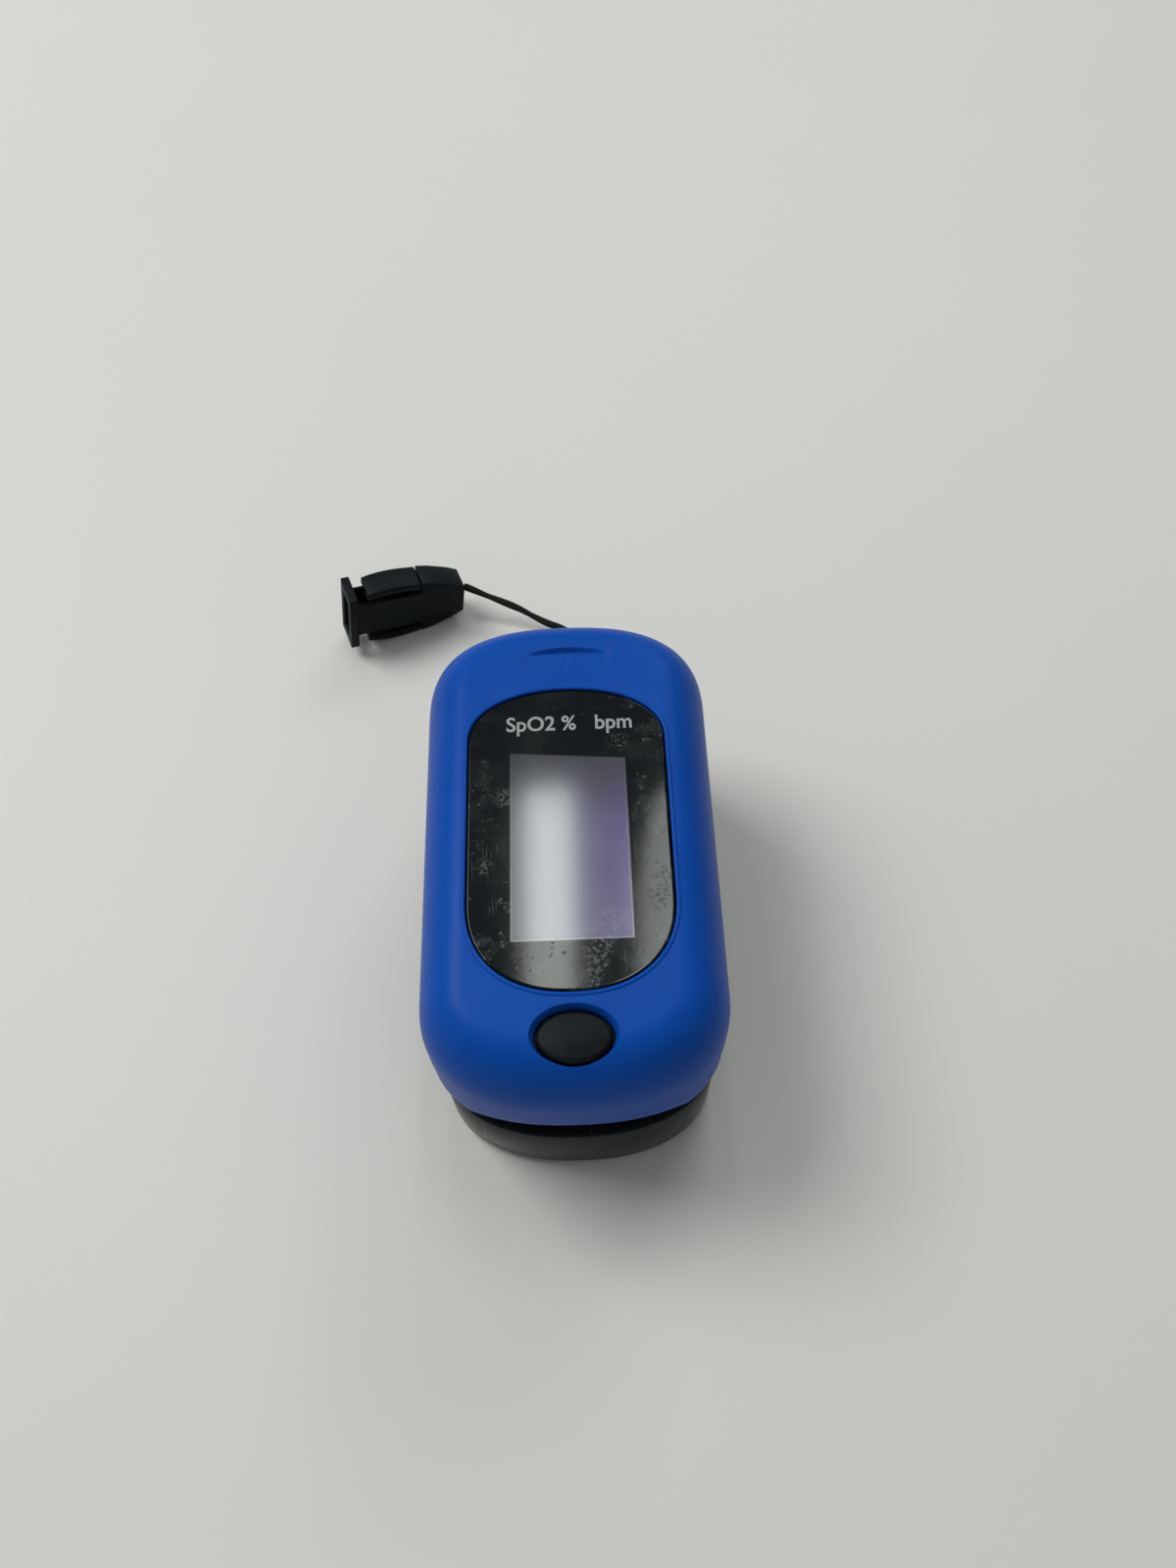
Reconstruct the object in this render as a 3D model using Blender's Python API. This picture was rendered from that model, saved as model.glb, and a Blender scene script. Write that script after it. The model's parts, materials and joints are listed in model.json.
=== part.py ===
"""Fingertip pulse oximeter: a clip of two sprung halves, with its lanyard cord and clasp.

Blender's metres, +Z up.  x = 0 is the middle plane, y = 0 the middle of the length, z = 0 the table.
The finger goes in at the front (-Y); the hinge, the thumb rest and the lanyard are at the rear (+Y).
"""
import math

import bmesh
import bpy
from mathutils import Matrix, Vector

MM = 0.001

# ---- body envelope
BODY_WIDTH = 34.0 * MM
BODY_LENGTH = 60.6 * MM
BODY_HEIGHT = 34.0 * MM
FRONT_Y = -BODY_LENGTH / 2
REAR_Y = BODY_LENGTH / 2
FRONT_CAP = 12.0 * MM            # depth of the blunt front end
REAR_CAP = 12.0 * MM             # depth of the round rear end
FRONT_POWER = 2.3                # roundness of the front end
REAR_POWER = 2.5
CAP_STEPS = 10                   # points along each quarter of an end

# ---- fits
GAP = 0.3 * MM                   # clearance between seated pieces
SPLIT_GAP = 0.6 * MM             # running gap between the two halves
SCREW_CLEARANCE = 0.3 * MM

# ---- top cover
COVER_WALL = 1.6 * MM
TOP_ROUND_IN = 5.6 * MM
TOP_ROUND_DOWN = 8.6 * MM
FRONT_TUCK = 0.1 * MM            # how far the cover's lower edge draws in
RIM_SHOW_UPPER = 1.8 * MM        # height of the dark rim below the cover
ARCH_HALF_WIDTH = 10.5 * MM
ARCH_POWER = 3.0
THUMB_REST_Y = REAR_Y - 6.0 * MM
THUMB_REST_WIDTH = 11.4 * MM
THUMB_REST_LENGTH = 4.6 * MM
THUMB_REST_DEPTH = 0.9 * MM

# ---- lower half
LOWER_INSET = 0.6 * MM           # the lower shell is this much smaller all round
SHELL_WALL = 1.5 * MM
BOTTOM_ROUND = 1.5 * MM
FLOOR_TOP_Z = 2.6 * MM
CROSS_WALL_HALF = 11.4 * MM
RIM_SHOW_LOWER = 1.6 * MM
RIM_WALL = 1.0 * MM
RIM_DEPTH = 3.0 * MM
LOWER_PLATE = 0.9 * MM
LOWER_REAR_DROP = 2.4 * MM
UPPER_PLATE = 1.0 * MM
UPPER_REAR_RISE = 3.8 * MM

# ---- hinge
HINGE_Y = REAR_Y - 16.3 * MM
LOWER_SLOPE_START_Y = HINGE_Y - 3.0 * MM
UPPER_SLOPE_START_Y = HINGE_Y + 1.5 * MM
PIN_RADIUS = 0.8 * MM
PIN_HALF_LENGTH = 13.6 * MM
EAR_RADIUS = 2.2 * MM
EAR_THICKNESS = 2.0 * MM
LOWER_EAR_X = 9.8 * MM           # middle of each lower ear
HINGE_SLOT_HALF = 2.7 * MM
COIL_RADIUS = 1.45 * MM
COIL_WIRE = 0.25 * MM
COIL_X = 7.0 * MM
COIL_TURNS = 4
COIL_PITCH = 0.58 * MM
LEG_REACH = 7.0 * MM

# ---- finger channel and pads
CHANNEL_HALF_WIDTH = 10.5 * MM
CHANNEL_CEILING_Z = BODY_HEIGHT - 8.7 * MM
CHANNEL_WALL = 1.0 * MM
CHANNEL_END_Y = HINGE_Y - 9.8 * MM
PAD_HALF_WIDTH = 10.2 * MM
PAD_INNER_HALF = 8.3 * MM
PAD_BASE = 0.8 * MM
LOWER_LIP_HEIGHT = 2.8 * MM
UPPER_PAD_UNDERSIDE_Z = CHANNEL_CEILING_Z - 4.0 * MM
PAD_SPLIT_GAP = 0.5 * MM
OPTICS_Y = FRONT_Y + 22.3 * MM
OPTICS_WINDOW = 4.4 * MM
OPTICS_BODY = 3.2 * MM
OPTICS_SINK = 1.4 * MM
EMITTER_BOARD_HALF = 3.6 * MM
DETECTOR_BOARD_HALF = 2.6 * MM
DETECTOR_BOARD_AHEAD = 3.0 * MM

# ---- display window and the stack below it
WINDOW_HALF_WIDTH = 11.1 * MM
WINDOW_REAR_Y = REAR_Y - 12.8 * MM
WINDOW_FRONT_Y = FRONT_Y + 10.7 * MM
WINDOW_REAR_CAP = 6.6 * MM
WINDOW_FRONT_CAP = 10.4 * MM
WINDOW_FRONT_POWER = 2.3
WINDOW_REAR_POWER = 2.15
WINDOW_THICKNESS = 1.2 * MM
WINDOW_BELOW_TOP = 0.3 * MM
WINDOW_EDGE = 0.35 * MM
GASKET_THICKNESS = 0.5 * MM
GASKET_WIDTH = 1.2 * MM
LEDGE_WIDTH = 1.8 * MM
LEDGE_THICKNESS = 1.0 * MM
LEDGE_FRAME = 0.6 * MM
DISPLAY_Y = (WINDOW_FRONT_Y + WINDOW_REAR_Y) / 2 - 0.45 * MM
DISPLAY_WIDTH = 15.0 * MM
DISPLAY_LENGTH = WINDOW_REAR_Y - WINDOW_FRONT_Y - 11.7 * MM
DISPLAY_THICKNESS = 1.6 * MM

# ---- boards
BOARD_TOP_Z = BODY_HEIGHT - 5.0 * MM
BOARD_THICKNESS = 1.0 * MM
BOARD_HALF_WIDTH = 10.8 * MM
BOARD_FRONT_Y = FRONT_Y + 3.3 * MM
BOARD_REAR_Y = REAR_Y - 11.3 * MM
BOARD_POST_RADIUS = 1.1 * MM
BOARD_POST_IN = 2.3 * MM
BOARD_POST_FRONT = 9.0 * MM
BOARD_POST_REAR = 2.0 * MM
BOARD_REAR_CHAMFER = 4.3 * MM
BOARD_FRONT_CHAMFER = 7.0 * MM
CHIP_HALF = 2.6 * MM
CHIP_HEIGHT = 0.9 * MM
CHIP_BEHIND_DISPLAY = 3.6 * MM
SIDE_PART_X = 6.4 * MM               # crystal and inductor, either side of the chip
CRYSTAL_HALF_SIZES = (1.6 * MM, 1.0 * MM, 0.8 * MM)
INDUCTOR_RADIUS = 1.6 * MM
CONNECTOR_HALF_SIZES = (3.6 * MM, 0.8 * MM, 0.8 * MM)
CONNECTOR_AHEAD = 1.6 * MM
SMALL_BOARD_THICKNESS = 0.8 * MM
FLEX_Y = HINGE_Y - 5.4 * MM
FLEX_HALF_WIDTH = 2.8 * MM
FLEX_THICKNESS = 0.2 * MM
FLEX_SLOT_HALF = 1.2 * MM
SLOT_REACH = 2.0 * MM               # how far slots in the two faces run into them

# ---- power button
BUTTON_Y = FRONT_Y + 5.8 * MM
BUTTON_HALF_X = 3.95 * MM
BUTTON_HALF_Y = 2.7 * MM
BUTTON_TOP_BELOW = 0.4 * MM
BUTTON_DISH = 0.5 * MM           # width of the sunk rim round the button
BUTTON_DISH_DEPTH = 0.5 * MM
BUTTON_CROWN = 0.35 * MM
BUTTON_TAB = 1.4 * MM
BUTTON_FLANGE = 0.7 * MM
SWITCH_SIZE = 4.6 * MM
SWITCH_HEIGHT = 1.3 * MM
PLUNGER_RADIUS = 1.0 * MM
PLUNGER_LENGTH = 0.9 * MM

# ---- batteries and contacts
CELL_RADIUS = 5.25 * MM
CELL_NUB_RADIUS = 1.9 * MM
CELL_NUB_LENGTH = 0.8 * MM
CELL_BETWEEN = 0.7 * MM            # room between the two cells
CELL_HEADROOM = 2.4 * MM           # from the cells' tops to the lower half's face
CELL_X = CELL_RADIUS + CELL_BETWEEN / 2
CELL_FRONT_Y = FRONT_Y + 6.4 * MM
CELL_REAR_Y = REAR_Y - 9.7 * MM
CONTACT_THICKNESS = 0.4 * MM
CONTACT_STANDOFF = 2.4 * MM
CONTACT_BOTTOM_Z = 2.9 * MM
CONTACT_ABOVE_CELL_AXIS = 3.85 * MM
CONTACT_HALF_WIDTH = 2.8 * MM
BRIDGE_PAST_CELL = 2.3 * MM
BATTERY_SPRING_WIRE = 0.2 * MM
BATTERY_SPRING_WIDE = 2.7 * MM
BATTERY_SPRING_NARROW = 1.8 * MM
BATTERY_SPRING_TURNS = 2.5

# ---- battery door
DOOR_HALF_WIDTH = 11.0 * MM
DOOR_REAR_Y = REAR_Y - 13.3 * MM
DOOR_BOTTOM_Z = 0.3 * MM
DOOR_TOP_Z = 1.4 * MM
TONGUE_WIDTH = 0.8 * MM
GRIP_GROOVES = 5
GRIP_FIRST = 5.0 * MM
GRIP_PITCH = 1.6 * MM
GRIP_GROOVE_WIDTH = 0.6 * MM
GRIP_HALF_WIDTH = 4.5 * MM
TONGUE_THICKNESS = 0.5 * MM
TONGUE_FRONT_Y = FRONT_Y + 10.3 * MM

# ---- screws
SCREW_RADIUS = 0.7 * MM
SCREW_HEAD_RADIUS = 1.3 * MM
SCREW_HEAD_HEIGHT = 1.0 * MM
SCREW_LENGTH = 10.0 * MM
SCREW_SINK = 0.3 * MM
DRIVE_HALF_WIDTH = 0.22 * MM
DRIVE_HALF_LENGTH = 0.8 * MM
DRIVE_DEPTH = 0.45 * MM
POST_RADIUS = 1.4 * MM
POST_SLEEVE = 0.4 * MM
UPPER_SCREW_POSITIONS = ((13.2 * MM, FRONT_Y + 9.8 * MM), (12.2 * MM, REAR_Y - 9.1 * MM))
LOWER_SCREW_POSITION = (12.5 * MM, REAR_Y - 10.0 * MM)
LOWER_BOSS_TOP_Z = 6.0 * MM

# ---- lanyard
EYE_HOLE_X = 2.3 * MM
EYE_HOLE_WIDTH = 2.2 * MM
EYE_Z = 7.8 * MM
EYE_HOLE_HEIGHT = 2.4 * MM
CORD_DIAMETER = 1.1 * MM
CORD_ROUTE = (
    (0.0, 30.05, 7.8), (0.15, 31.6, 7.7), (0.8, 34.2, 6.8), (2.0, 37.2, 5.0), (3.2, 40.5, 3.2),
    (3.6, 44.0, 1.9), (3.0, 47.2, 1.4), (1.3, 49.6, 1.5), (-0.64, 50.9, 1.7), (-2.9, 51.8, 2.0),
    (-5.1, 52.95, 2.4), (-7.35, 54.1, 3.0), (-10.33, 55.2, 3.8), (-12.55, 55.95, 4.4),
    (-14.5, 56.7, 4.9), (-15.65, 57.15, 5.1))
CORD_POINTS = 28

# ---- clasp, in its own frame: u along it from the flange to the cord, v across its height
CLASP_START = (-33.1 * MM, 51.17 * MM, 7.05 * MM)
CLASP_TURN = math.radians(20.2)
CLASP_DIP = math.radians(9.2)       # how far its cord end leans down
CLASP_HEIGHT = 10.5 * MM
CLASP_THICKNESS = 4.0 * MM
CLASP_FLANGE = 1.3 * MM
CLASP_FLANGE_DEPTH = 5.1 * MM
CLASP_LENGTH = 18.1 * MM
CLASP_CORE_HALF = 3.3 * MM
CLASP_NECK_HALF = 2.6 * MM
CLASP_SHOULDER_U = 11.3 * MM
CLASP_SHOULDER_HALF = 5.3 * MM
CLASP_SHOULDER_SLOPE = ((13.3 * MM, 4.8 * MM), (16.3 * MM, 3.6 * MM))
CLASP_SOCKET = (7.4 * MM, 2.8 * MM, 5.5 * MM)
ARM_ROOT_U = 10.9 * MM
ARM_TIP_U = 2.9 * MM
ARM_CREST_U = 6.6 * MM
ARM_CREST_V = 5.65 * MM
ARM_TIP_V = 5.15 * MM
ARM_ROOT_V = 5.15 * MM
ARM_THICKNESS = 1.2 * MM
ARM_DEPTH = 4.0 * MM

# ---- derived levels
HALF_LENGTH = BODY_LENGTH / 2
CELL_Z = DOOR_TOP_Z + GAP + CELL_RADIUS
CONTACT_TOP_Z = CELL_Z + CONTACT_ABOVE_CELL_AXIS
FACE_Z = CELL_Z + CELL_RADIUS + CELL_HEADROOM       # top of the lower half's face
HINGE_Z = FACE_Z + 1.4 * MM
UPPER_RIM_TOP_Z = FACE_Z + 5.9 * MM
ARCH_TOP_Z = FACE_Z + 6.1 * MM
UPPER_FACE_Z = FACE_Z + SPLIT_GAP
COVER_INNER = COVER_WALL + GAP
SHELL_INNER = LOWER_INSET + SHELL_WALL
LOWER_RIM_INSET = SHELL_INNER + GAP
WINDOW_TOP_Z = BODY_HEIGHT - WINDOW_BELOW_TOP
WINDOW_BOTTOM_Z = WINDOW_TOP_Z - WINDOW_THICKNESS
GASKET_TOP_Z = WINDOW_BOTTOM_Z - GAP
LEDGE_TOP_Z = GASKET_TOP_Z - GASKET_THICKNESS - GAP
LEDGE_BOTTOM_Z = LEDGE_TOP_Z - LEDGE_THICKNESS
BOARD_BOTTOM_Z = BOARD_TOP_Z - BOARD_THICKNESS
CHANNEL_TOP_Z = CHANNEL_CEILING_Z + CHANNEL_WALL
UPPER_EAR_X = LOWER_EAR_X + EAR_THICKNESS + GAP
FRONT_CONTACT_Y = CELL_FRONT_Y - CONTACT_STANDOFF
REAR_CONTACT_Y = CELL_REAR_Y + CONTACT_STANDOFF
CEILING_Z = BODY_HEIGHT - COVER_WALL
REACH = 20 * MM                  # how far a cutter runs past the piece it cuts


# ================================================================ scene and materials

def clear_scene():
    for item in list(bpy.data.objects):
        bpy.data.objects.remove(item, do_unlink=True)


def make_material(name, colour, roughness, metallic=0.0):
    material = bpy.data.materials.new(name)
    material.use_nodes = True
    shader = material.node_tree.nodes["Principled BSDF"]
    shader.inputs["Base Color"].default_value = (*colour, 1.0)
    shader.inputs["Roughness"].default_value = roughness
    shader.inputs["Metallic"].default_value = metallic
    return material


clear_scene()
BLUE_PLASTIC = make_material("blue_plastic", (0.009, 0.07, 0.36), 0.3)
GREY_PLASTIC = make_material("grey_plastic", (0.05, 0.06, 0.065), 0.25)
BLACK_PLASTIC = make_material("black_plastic", (0.012, 0.014, 0.015), 0.45)
WINDOW_PLASTIC = make_material("window_plastic", (0.006, 0.008, 0.01), 0.08)
GASKET_FOAM = make_material("gasket_foam", (0.015, 0.015, 0.015), 0.9)
DISPLAY_GLASS = make_material("display_glass", (0.09, 0.09, 0.1), 0.15)
CIRCUIT_BOARD = make_material("circuit_board", (0.01, 0.1, 0.035), 0.4)
CHIP_EPOXY = make_material("chip_epoxy", (0.02, 0.02, 0.02), 0.5)
STEEL = make_material("steel", (0.62, 0.62, 0.6), 0.28, 1.0)
PAD_RUBBER = make_material("pad_rubber", (0.02, 0.022, 0.024), 0.7)
CLEAR_RESIN = make_material("clear_resin", (0.5, 0.12, 0.1), 0.2)
CELL_JACKET = make_material("cell_jacket", (0.03, 0.16, 0.07), 0.35)
FLEX_FILM = make_material("flex_film", (0.45, 0.2, 0.03), 0.4)
CORD_FIBRE = make_material("cord_fibre", (0.012, 0.013, 0.014), 0.85)


# ================================================================ outlines

def end_quarter(half_width, depth, power, steps):
    """Points of one rounded quarter end, from its side (x = half_width) to its tip (x = 0)."""
    points = []
    for step in range(steps + 1):
        angle = math.pi / 2 * step / steps
        x = half_width * math.cos(angle) ** (2 / power)
        y = depth * math.sin(angle) ** (2 / power)
        points.append((x, y))
    points[-1] = (0.0, depth)
    return points


def capsule_outline(half_width, front_y, rear_y, front_cap, rear_cap, front_power, rear_power,
                    side_stations=()):
    """A closed outline from the front tip round the right side to the rear tip and back."""
    front = [(x, front_y + front_cap - y)
             for x, y in reversed(end_quarter(half_width, front_cap, front_power, CAP_STEPS))]
    rear = [(x, rear_y - rear_cap + y)
            for x, y in end_quarter(half_width, rear_cap, rear_power, CAP_STEPS)]
    side = [(half_width, y) for y in side_stations]
    right = front + side + rear
    left = [(-x, y) for x, y in reversed(right[1:-1])]
    return right + left


def body_outline(inset):
    return capsule_outline(BODY_WIDTH / 2 - inset, -HALF_LENGTH + inset, HALF_LENGTH - inset,
                           FRONT_CAP - inset, REAR_CAP - inset, FRONT_POWER, REAR_POWER,
                           (LOWER_SLOPE_START_Y, UPPER_SLOPE_START_Y))


def window_outline(inset):
    return capsule_outline(WINDOW_HALF_WIDTH - inset, WINDOW_FRONT_Y + inset, WINDOW_REAR_Y - inset,
                           WINDOW_FRONT_CAP - inset, WINDOW_REAR_CAP - inset,
                           WINDOW_FRONT_POWER, WINDOW_REAR_POWER)


def oval_outline(half_x, half_y, centre_y, steps=24):
    points = []
    for step in range(steps):
        angle = math.tau * step / steps
        points.append((half_x * math.sin(angle), centre_y - half_y * math.cos(angle)))
    return points


def upper_face(y):
    """Height of the upper half's face, which lifts towards the rear to leave room to swing."""
    share = (y - UPPER_SLOPE_START_Y) / (HALF_LENGTH - UPPER_SLOPE_START_Y)
    return UPPER_FACE_Z + UPPER_REAR_RISE * max(0.0, share)


def lower_face(y):
    share = (y - LOWER_SLOPE_START_Y) / (HALF_LENGTH - LOWER_SLOPE_START_Y)
    return FACE_Z - LOWER_REAR_DROP * max(0.0, share)


def cover_edge(y):
    return upper_face(y) + RIM_SHOW_UPPER


def shell_edge(y):
    return lower_face(y) - RIM_SHOW_LOWER


# ================================================================ solids

def ring(outline, height):
    """Lift an outline to a height, which may be a number or a function of y."""
    if callable(height):
        return [Vector((x, y, height(y))) for x, y in outline]
    return [Vector((x, y, height)) for x, y in outline]


def close_ring(mesh, verts):
    """Close a mirror-symmetric ring with strips across x, so that a sloped end stays exact."""
    count = len(verts)
    for step in range(count // 2):
        corners = [verts[step], verts[step + 1], verts[(count - step - 1) % count],
                   verts[(count - step) % count]]
        face = list(dict.fromkeys(corners))
        if len(face) > 2:
            mesh.faces.new(face)


def loft(rings):
    """A closed solid through rings of equal length."""
    mesh = bmesh.new()
    rows = [[mesh.verts.new(point) for point in points] for points in rings]
    for low, high in zip(rows, rows[1:]):
        for step in range(len(low)):
            after = (step + 1) % len(low)
            mesh.faces.new((low[step], low[after], high[after], high[step]))
    close_ring(mesh, rows[0])
    close_ring(mesh, rows[-1])
    bmesh.ops.recalc_face_normals(mesh, faces=mesh.faces)
    return mesh


def prism(outline, low, high):
    return loft([ring(outline, low), ring(outline, high)])


def ring_prism(outer, inner, low, high):
    """A flat frame between two outlines of equal length."""
    mesh = bmesh.new()
    loops = [[mesh.verts.new((x, y, z)) for x, y in outline]
             for outline, z in ((outer, low), (outer, high), (inner, high), (inner, low))]
    for first, second in zip(loops, loops[1:] + loops[:1]):
        for step in range(len(first)):
            after = (step + 1) % len(first)
            mesh.faces.new((first[step], first[after], second[after], second[step]))
    bmesh.ops.recalc_face_normals(mesh, faces=mesh.faces)
    return mesh


def extrude_profile(points, start, end, place):
    """Extrude a 2-D profile; place(a, b, depth) gives each point's position."""
    mesh = bmesh.new()
    first = [mesh.verts.new(place(a, b, start)) for a, b in points]
    last = [mesh.verts.new(place(a, b, end)) for a, b in points]
    mesh.faces.new(first)
    mesh.faces.new(last)
    for step in range(len(points)):
        after = (step + 1) % len(points)
        mesh.faces.new((first[step], first[after], last[after], last[step]))
    bmesh.ops.recalc_face_normals(mesh, faces=mesh.faces)
    return mesh


def along_x(points, x0, x1):
    return extrude_profile(points, x0, x1, lambda a, b, depth: (depth, a, b))


def along_y(points, y0, y1):
    return extrude_profile(points, y0, y1, lambda a, b, depth: (a, depth, b))


def box(x0, x1, y0, y1, z0, z1):
    return extrude_profile([(x0, y0), (x1, y0), (x1, y1), (x0, y1)], z0, z1,
                           lambda a, b, depth: (a, b, depth))


def cylinder(radius, start, end, sides=20):
    """A solid rod between two points."""
    start = Vector(start)
    end = Vector(end)
    mesh = bmesh.new()
    bmesh.ops.create_cone(mesh, cap_ends=True, segments=sides, radius1=radius, radius2=radius,
                          depth=(end - start).length)
    turn = (end - start).to_track_quat("Z", "Y").to_matrix().to_4x4()
    bmesh.ops.transform(mesh, matrix=Matrix.Translation((start + end) / 2) @ turn, verts=mesh.verts)
    return mesh


def merge(*meshes):
    """Several shapes in one mesh, for a cutter with separate bodies."""
    joined = bmesh.new()
    for mesh in meshes:
        part = bpy.data.meshes.new("part")
        mesh.to_mesh(part)
        mesh.free()
        joined.from_mesh(part)
        bpy.data.meshes.remove(part)
    return joined


def add_object(name, mesh, material, origin=(0.0, 0.0, 0.0), smooth_angle=30.0):
    """Make a named object from a mesh in world space, with its origin at a chosen point."""
    data = bpy.data.meshes.new(name)
    origin = Vector(origin)
    bmesh.ops.translate(mesh, vec=-origin, verts=mesh.verts)
    mesh.to_mesh(data)
    mesh.free()
    data.materials.append(material)
    data.shade_smooth()
    data.set_sharp_from_angle(angle=math.radians(smooth_angle))
    item = bpy.data.objects.new(name, data)
    item.location = origin
    bpy.context.scene.collection.objects.link(item)
    return item


def combine(target, mesh, operation="DIFFERENCE"):
    """Cut a shape from a piece, or join or intersect it, with a hidden helper object."""
    data = bpy.data.meshes.new("helper")
    mesh.to_mesh(data)
    mesh.free()
    helper = bpy.data.objects.new("helper_" + target.name, data)
    helper.hide_render = True
    helper.display_type = "WIRE"
    bpy.context.scene.collection.objects.link(helper)
    modifier = target.modifiers.new(operation.lower(), "BOOLEAN")
    modifier.operation = operation
    modifier.solver = "EXACT"
    modifier.object = helper
    return helper


def add_wire(name, points, radius, material, resolution=1):
    """A round wire or cord with filled ends, on a polyline."""
    curve = bpy.data.curves.new(name, "CURVE")
    curve.dimensions = "3D"
    curve.bevel_depth = radius
    curve.bevel_resolution = resolution
    curve.use_fill_caps = True
    curve.render_resolution_u = 0
    spline = curve.splines.new("POLY")
    spline.points.add(len(points) - 1)
    for node, place in zip(spline.points, points):
        node.co = (*place, 1.0)
    curve.materials.append(material)
    item = bpy.data.objects.new(name, curve)
    bpy.context.scene.collection.objects.link(item)
    return item


def smooth_route(points, count):
    """Evenly spaced points on a centripetal curve through the given ones."""
    knots = [Vector(point) for point in points]
    ends = [2 * knots[0] - knots[1]] + knots + [2 * knots[-1] - knots[-2]]
    dense = []
    for p0, p1, p2, p3 in zip(ends, ends[1:], ends[2:], ends[3:]):
        for step in range(24):
            t = step / 24
            dense.append(0.5 * (2 * p1 + (p2 - p0) * t + (2 * p0 - 5 * p1 + 4 * p2 - p3) * t * t
                                + (3 * p1 - p0 - 3 * p2 + p3) * t ** 3))
    dense.append(knots[-1])
    reach = [0.0]
    for first, second in zip(dense, dense[1:]):
        reach.append(reach[-1] + (second - first).length)
    result = []
    index = 0
    for step in range(count):
        want = reach[-1] * step / (count - 1)
        while index < len(dense) - 2 and reach[index + 1] < want:
            index += 1
        share = (want - reach[index]) / (reach[index + 1] - reach[index])
        result.append(dense[index].lerp(dense[index + 1], min(1.0, share)))
    return result


# ================================================================ upper half

def upper_screw_places():
    return [(side * x, y) for x, y in UPPER_SCREW_POSITIONS for side in (-1, 1)]


def make_top_cover():
    rings = []
    steps = 6
    for step in range(steps + 1):
        angle = math.pi / 2 * step / steps
        inset = TOP_ROUND_IN * (1 - math.sin(angle))
        rings.append(ring(body_outline(inset), BODY_HEIGHT - TOP_ROUND_DOWN * (1 - math.cos(angle))))
    rings.append(ring(body_outline(0.0), UPPER_RIM_TOP_Z + GAP))
    rings.append(ring(body_outline(FRONT_TUCK), cover_edge))
    rings.append(ring(body_outline(COVER_WALL), cover_edge))
    rings.append(ring(body_outline(COVER_WALL), BODY_HEIGHT - TOP_ROUND_DOWN))
    for step in range(1, steps + 1):
        angle = math.pi / 2 * (1 - step / steps)
        inset = COVER_WALL + (TOP_ROUND_IN - COVER_WALL) * (1 - math.sin(angle))
        drop = (TOP_ROUND_DOWN - COVER_WALL) * (1 - math.cos(angle))
        rings.append(ring(body_outline(inset), CEILING_Z - drop))
    cover = add_object("top_cover", loft(rings), BLUE_PLASTIC)

    frame = window_outline(-(GAP + LEDGE_FRAME))
    combine(cover, prism(frame, LEDGE_BOTTOM_Z, CEILING_Z + COVER_WALL / 2), "UNION")
    for x, y in upper_screw_places():
        boss = cylinder(POST_RADIUS, (x, y, UPPER_RIM_TOP_Z + GAP), (x, y, CEILING_Z + COVER_WALL / 4))
        combine(cover, boss, "UNION")
    combine(cover, prism(window_outline(-GAP), LEDGE_TOP_Z, BODY_HEIGHT + REACH))
    combine(cover, prism(window_outline(LEDGE_WIDTH), LEDGE_BOTTOM_Z - REACH / 10, BODY_HEIGHT + REACH))
    dish = oval_outline(BUTTON_HALF_X + GAP + BUTTON_DISH, BUTTON_HALF_Y + GAP + BUTTON_DISH / 2, BUTTON_Y)
    combine(cover, prism(dish, BODY_HEIGHT - BUTTON_DISH_DEPTH, BODY_HEIGHT + REACH))
    hole = oval_outline(BUTTON_HALF_X + GAP, BUTTON_HALF_Y + GAP, BUTTON_Y)
    combine(cover, prism(hole, CEILING_Z - REACH / 5, BODY_HEIGHT + REACH))
    combine(cover, finger_arch(ARCH_HALF_WIDTH, ARCH_TOP_Z, CHANNEL_END_Y - REACH))
    holes = [cylinder(SCREW_RADIUS + SCREW_CLEARANCE, (x, y, UPPER_RIM_TOP_Z - GAP),
                      (x, y, upper_face(y) + SCREW_LENGTH + 2 * SCREW_HEAD_HEIGHT))
             for x, y in upper_screw_places()]
    combine(cover, merge(*holes))
    combine(cover, thumb_scoop())


def thumb_scoop():
    """A shallow crescent hollow behind the window, cut with a flattened ball."""
    mesh = bmesh.new()
    bmesh.ops.create_uvsphere(mesh, u_segments=24, v_segments=12, radius=1.0)
    scale = Matrix.Diagonal((THUMB_REST_WIDTH / 2, THUMB_REST_LENGTH / 2, THUMB_REST_DEPTH * 2, 1.0))
    place = Matrix.Translation((0.0, THUMB_REST_Y, BODY_HEIGHT + THUMB_REST_DEPTH))
    bmesh.ops.transform(mesh, matrix=place @ scale, verts=mesh.verts)
    return mesh


def finger_arch(half_width, top_z, end_y):
    """The mouth that the finger enters by: flat below, a full low arch above."""
    low = FACE_Z - GAP
    points = [(-half_width, low)]
    steps = 16
    for step in range(steps + 1):
        angle = math.pi * (1 - step / steps)
        x = half_width * math.copysign(abs(math.cos(angle)) ** (2 / ARCH_POWER), math.cos(angle))
        z = FACE_Z + (top_z - FACE_Z) * math.sin(angle) ** (2 / ARCH_POWER)
        points.append((x, z))
    points.append((half_width, low))
    return along_y(points, -HALF_LENGTH - REACH, end_y)


def make_window():
    bevel = WINDOW_EDGE
    rings = [ring(window_outline(0.0), WINDOW_BOTTOM_Z),
             ring(window_outline(0.0), WINDOW_TOP_Z - bevel),
             ring(window_outline(bevel * 0.3), WINDOW_TOP_Z - bevel * 0.3),
             ring(window_outline(bevel), WINDOW_TOP_Z)]
    add_object("display_window", loft(rings), WINDOW_PLASTIC)


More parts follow.
